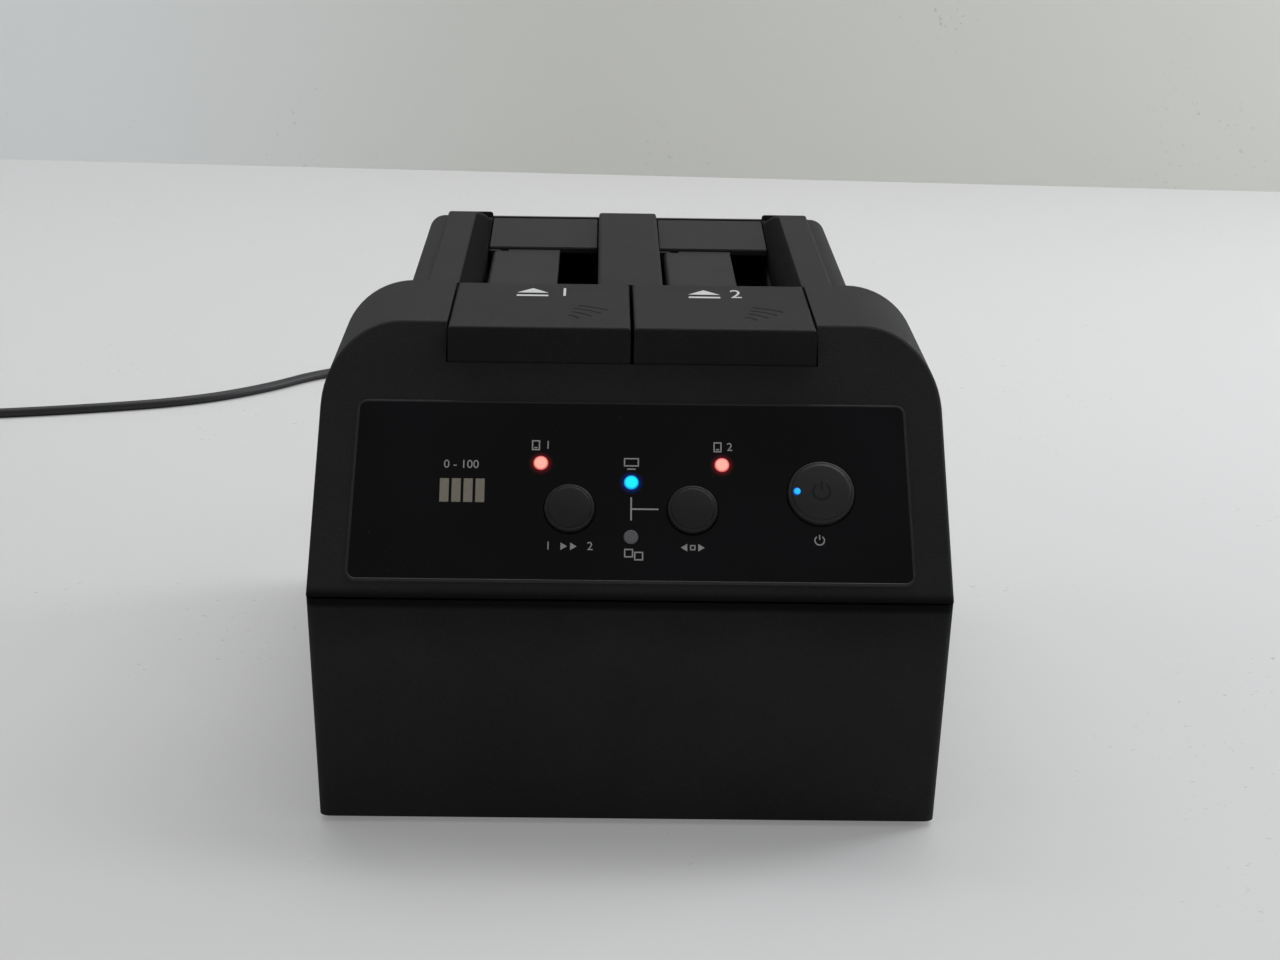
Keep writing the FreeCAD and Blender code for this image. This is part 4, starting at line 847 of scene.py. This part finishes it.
def lay_lead(jacket):
    """The supply lead on its table, wound up beyond the left edge."""
    coil = coil_points()
    last = coil[-1]
    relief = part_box("power_adapter")[1]
    end = (last[0], relief[1] - 0.0010, last[2])
    curve = bpy.data.curves.new("supply_lead", "CURVE")
    curve.dimensions = "3D"
    curve.bevel_depth = LEAD_THICKNESS / 2
    curve.bevel_resolution = 5
    curve.resolution_u = 8
    curve.use_fill_caps = True
    spline = curve.splines.new("NURBS")
    route = LEAD_ROUTE + coil + [(last[0], (last[1] + end[1]) / 2, last[2]), end]
    spline.points.add(len(route) - 1)
    for point, place in zip(spline.points, route):
        point.co = (*place, 1.0)
    spline.order_u = 3
    spline.use_endpoint_u = True
    coat(curve, jacket)
    lead = into_scene("supply_lead", curve)
    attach(lead, "housing")
    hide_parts("power_lead", "lead_coil")
    return lead


def tie_coil(material):
    """A strap round the coil's section, on the side away from the adapter."""
    low, high = COIL_INNER - LEAD_THICKNESS / 2, COIL_OUTER + LEAD_THICKNESS / 2
    top = 2 * (LEAD_THICKNESS + LAYER_GAP)
    out_low, out_high, out_top = low - TIE_THICKNESS, high + TIE_THICKNESS, top + TIE_THICKNESS
    outer = rounded_loop([(out_low, 0.0), (out_high, 0.0), (out_high, out_top), (out_low, out_top)], 0.0016)
    inner = rounded_loop([(low, LAYER_GAP), (high, LAYER_GAP), (high, top), (low, top)], 0.0010)
    count = len(outer)
    place = Matrix.Translation((*COIL_CENTRE, 0.0)) @ Matrix.Rotation(math.radians(TIE_ANGLE), 4, "Z")
    vertices = []
    for loop in (outer, inner):
        for side in (-TIE_HALF_WIDTH, TIE_HALF_WIDTH):
            vertices += [place @ Vector((spot.x, side, spot.y)) for spot in loop]
    faces = []
    for i in range(count):
        j = (i + 1) % count
        faces.append((i, count + i, count + j, j))
        faces.append((2 * count + j, 3 * count + j, 3 * count + i, 2 * count + i))
        faces.append((count + i, 3 * count + i, 3 * count + j, count + j))
        faces.append((j, 2 * count + j, 2 * count + i, i))
    add_mesh("coil_tie", vertices, faces, material, "housing")


# ---------------------------------------------------------------- making
aim_camera()
light_room()
lay_table()

jacket = lead_rubber("lead_jacket", (0.012, 0.012, 0.013), 0.42)
lead = lay_lead(jacket)
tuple(LEAD_ROUTE[0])

shell = moulded_black("shell_black", (0.0225, 0.0218, 0.0228), 0.56, 0.0005, 0.00010, 0.067, shell_painted_shade)
key = moulded_black("key_black", (0.0160, 0.0156, 0.0162), 0.52, 0.0005, 0.00006, 0.066)
cover = moulded_black("cover_black", (0.0235, 0.0230, 0.0240), 0.54, 0.0005, 0.00008, 0.088)
panel = polished_black()
panel_key = plain_plastic("panel_key_black", (0.0150, 0.0146, 0.0144), 0.38, 0.25)
trim = plain_plastic("panel_trim_black", (0.013, 0.013, 0.013), 0.36, 0.35)
power_key = plain_plastic("power_key_black", (0.0230, 0.0224, 0.0222), 0.38, 0.25)
# painted shade: dark plastic for the lines that stand in for the grip ridges' shade
groove = plain_plastic("groove_black", (0.0100, 0.0098, 0.0102), 0.7, 0.03)
# painted light: a lighter, bluish grey than black plastic, so the slots into the wells look lit
inner = plain_plastic("inner_black", (0.085, 0.085, 0.095), 0.5)
off_white = plain_plastic("lever_white", (0.62, 0.61, 0.57), 0.45)
chip = plain_plastic("chip_black", (0.012, 0.012, 0.012), 0.5)
ribbon = plain_plastic("ribbon_grey", (0.35, 0.35, 0.36), 0.5)
steel = worked_metal("zinc_steel", (0.62, 0.62, 0.63), 0.28)
black_steel = worked_metal("blacked_steel", (0.020, 0.020, 0.022), 0.5)
nickel = worked_metal("bright_nickel", (0.72, 0.70, 0.66), 0.2)
board = solder_mask()
rubber = lead_rubber("foot_rubber", (0.014, 0.014, 0.014), 0.6)
tie_coil(rubber)
adapter = moulded_black("adapter_black", (0.012, 0.012, 0.013), 0.48, 0.0006, 0.00003, 0.35)

for name in LENSES:
    coat(NODES[name].data, lit_lens(name))

FINISHES = {
    shell: ["base_tray", "top_cover"],
    panel: ["front_panel"],
    key: ["source_eject_button", "target_eject_button"],
    cover: ["source_bay_flap", "target_bay_flap", "source_rear_door", "target_rear_door"],
    panel_key: ["duplicate_button", "mode_button"],
    power_key: ["power_button"],
    inner: ["source_drive_well", "target_drive_well", "eject_shelf"],
    off_white: ["source_eject_lever", "target_eject_lever"],
    chip: ["board_chips", "tact_switches", "source_drive_connector", "target_drive_connector",
           "power_jack"],
    ribbon: ["ribbon_cable"],
    steel: ["source_lever_pin", "target_lever_pin", "source_eject_spring", "target_eject_spring",
            "case_screws", "board_screws", "shelf_screws", "well_screws", "control_screws"],
    black_steel: ["flap_pins", "door_pins"],
    nickel: ["data_port", "adapter_blades"],
    board: ["main_board", "control_board"],
    rubber: ["rubber_feet"],
    jacket: ["power_plug"],
    adapter: ["power_adapter"],
    frosted_lens("copy_lens", (0.135, 0.13, 0.14)): ["copy_light"],
    frosted_lens("bar_lens", (0.26, 0.235, 0.19)): ["progress_bars"],
}
for material, names in FINISHES.items():
    for name in names:
        coat(NODES[name].data, material)

ink = print_ink("print_ink", (0.40, 0.40, 0.39))
bright_ink = print_ink("bright_print_ink", (0.62, 0.62, 0.62))
# painted shade of the sunk sign on the power key
sunk_ink = print_ink("sunk_ink", (0.004, 0.004, 0.005))
caps = {"duplicate_button": panel_key, "mode_button": panel_key, "power_button": power_key}
dress_panel(trim, caps, NODES["power_light"].data.materials[0])
for side in ("source", "target"):
    soften_ridges(side + "_eject_button", key)
    shortening_spring(side, steel)
print_panel(ink, sunk_ink)
print_keys(bright_ink, groove)
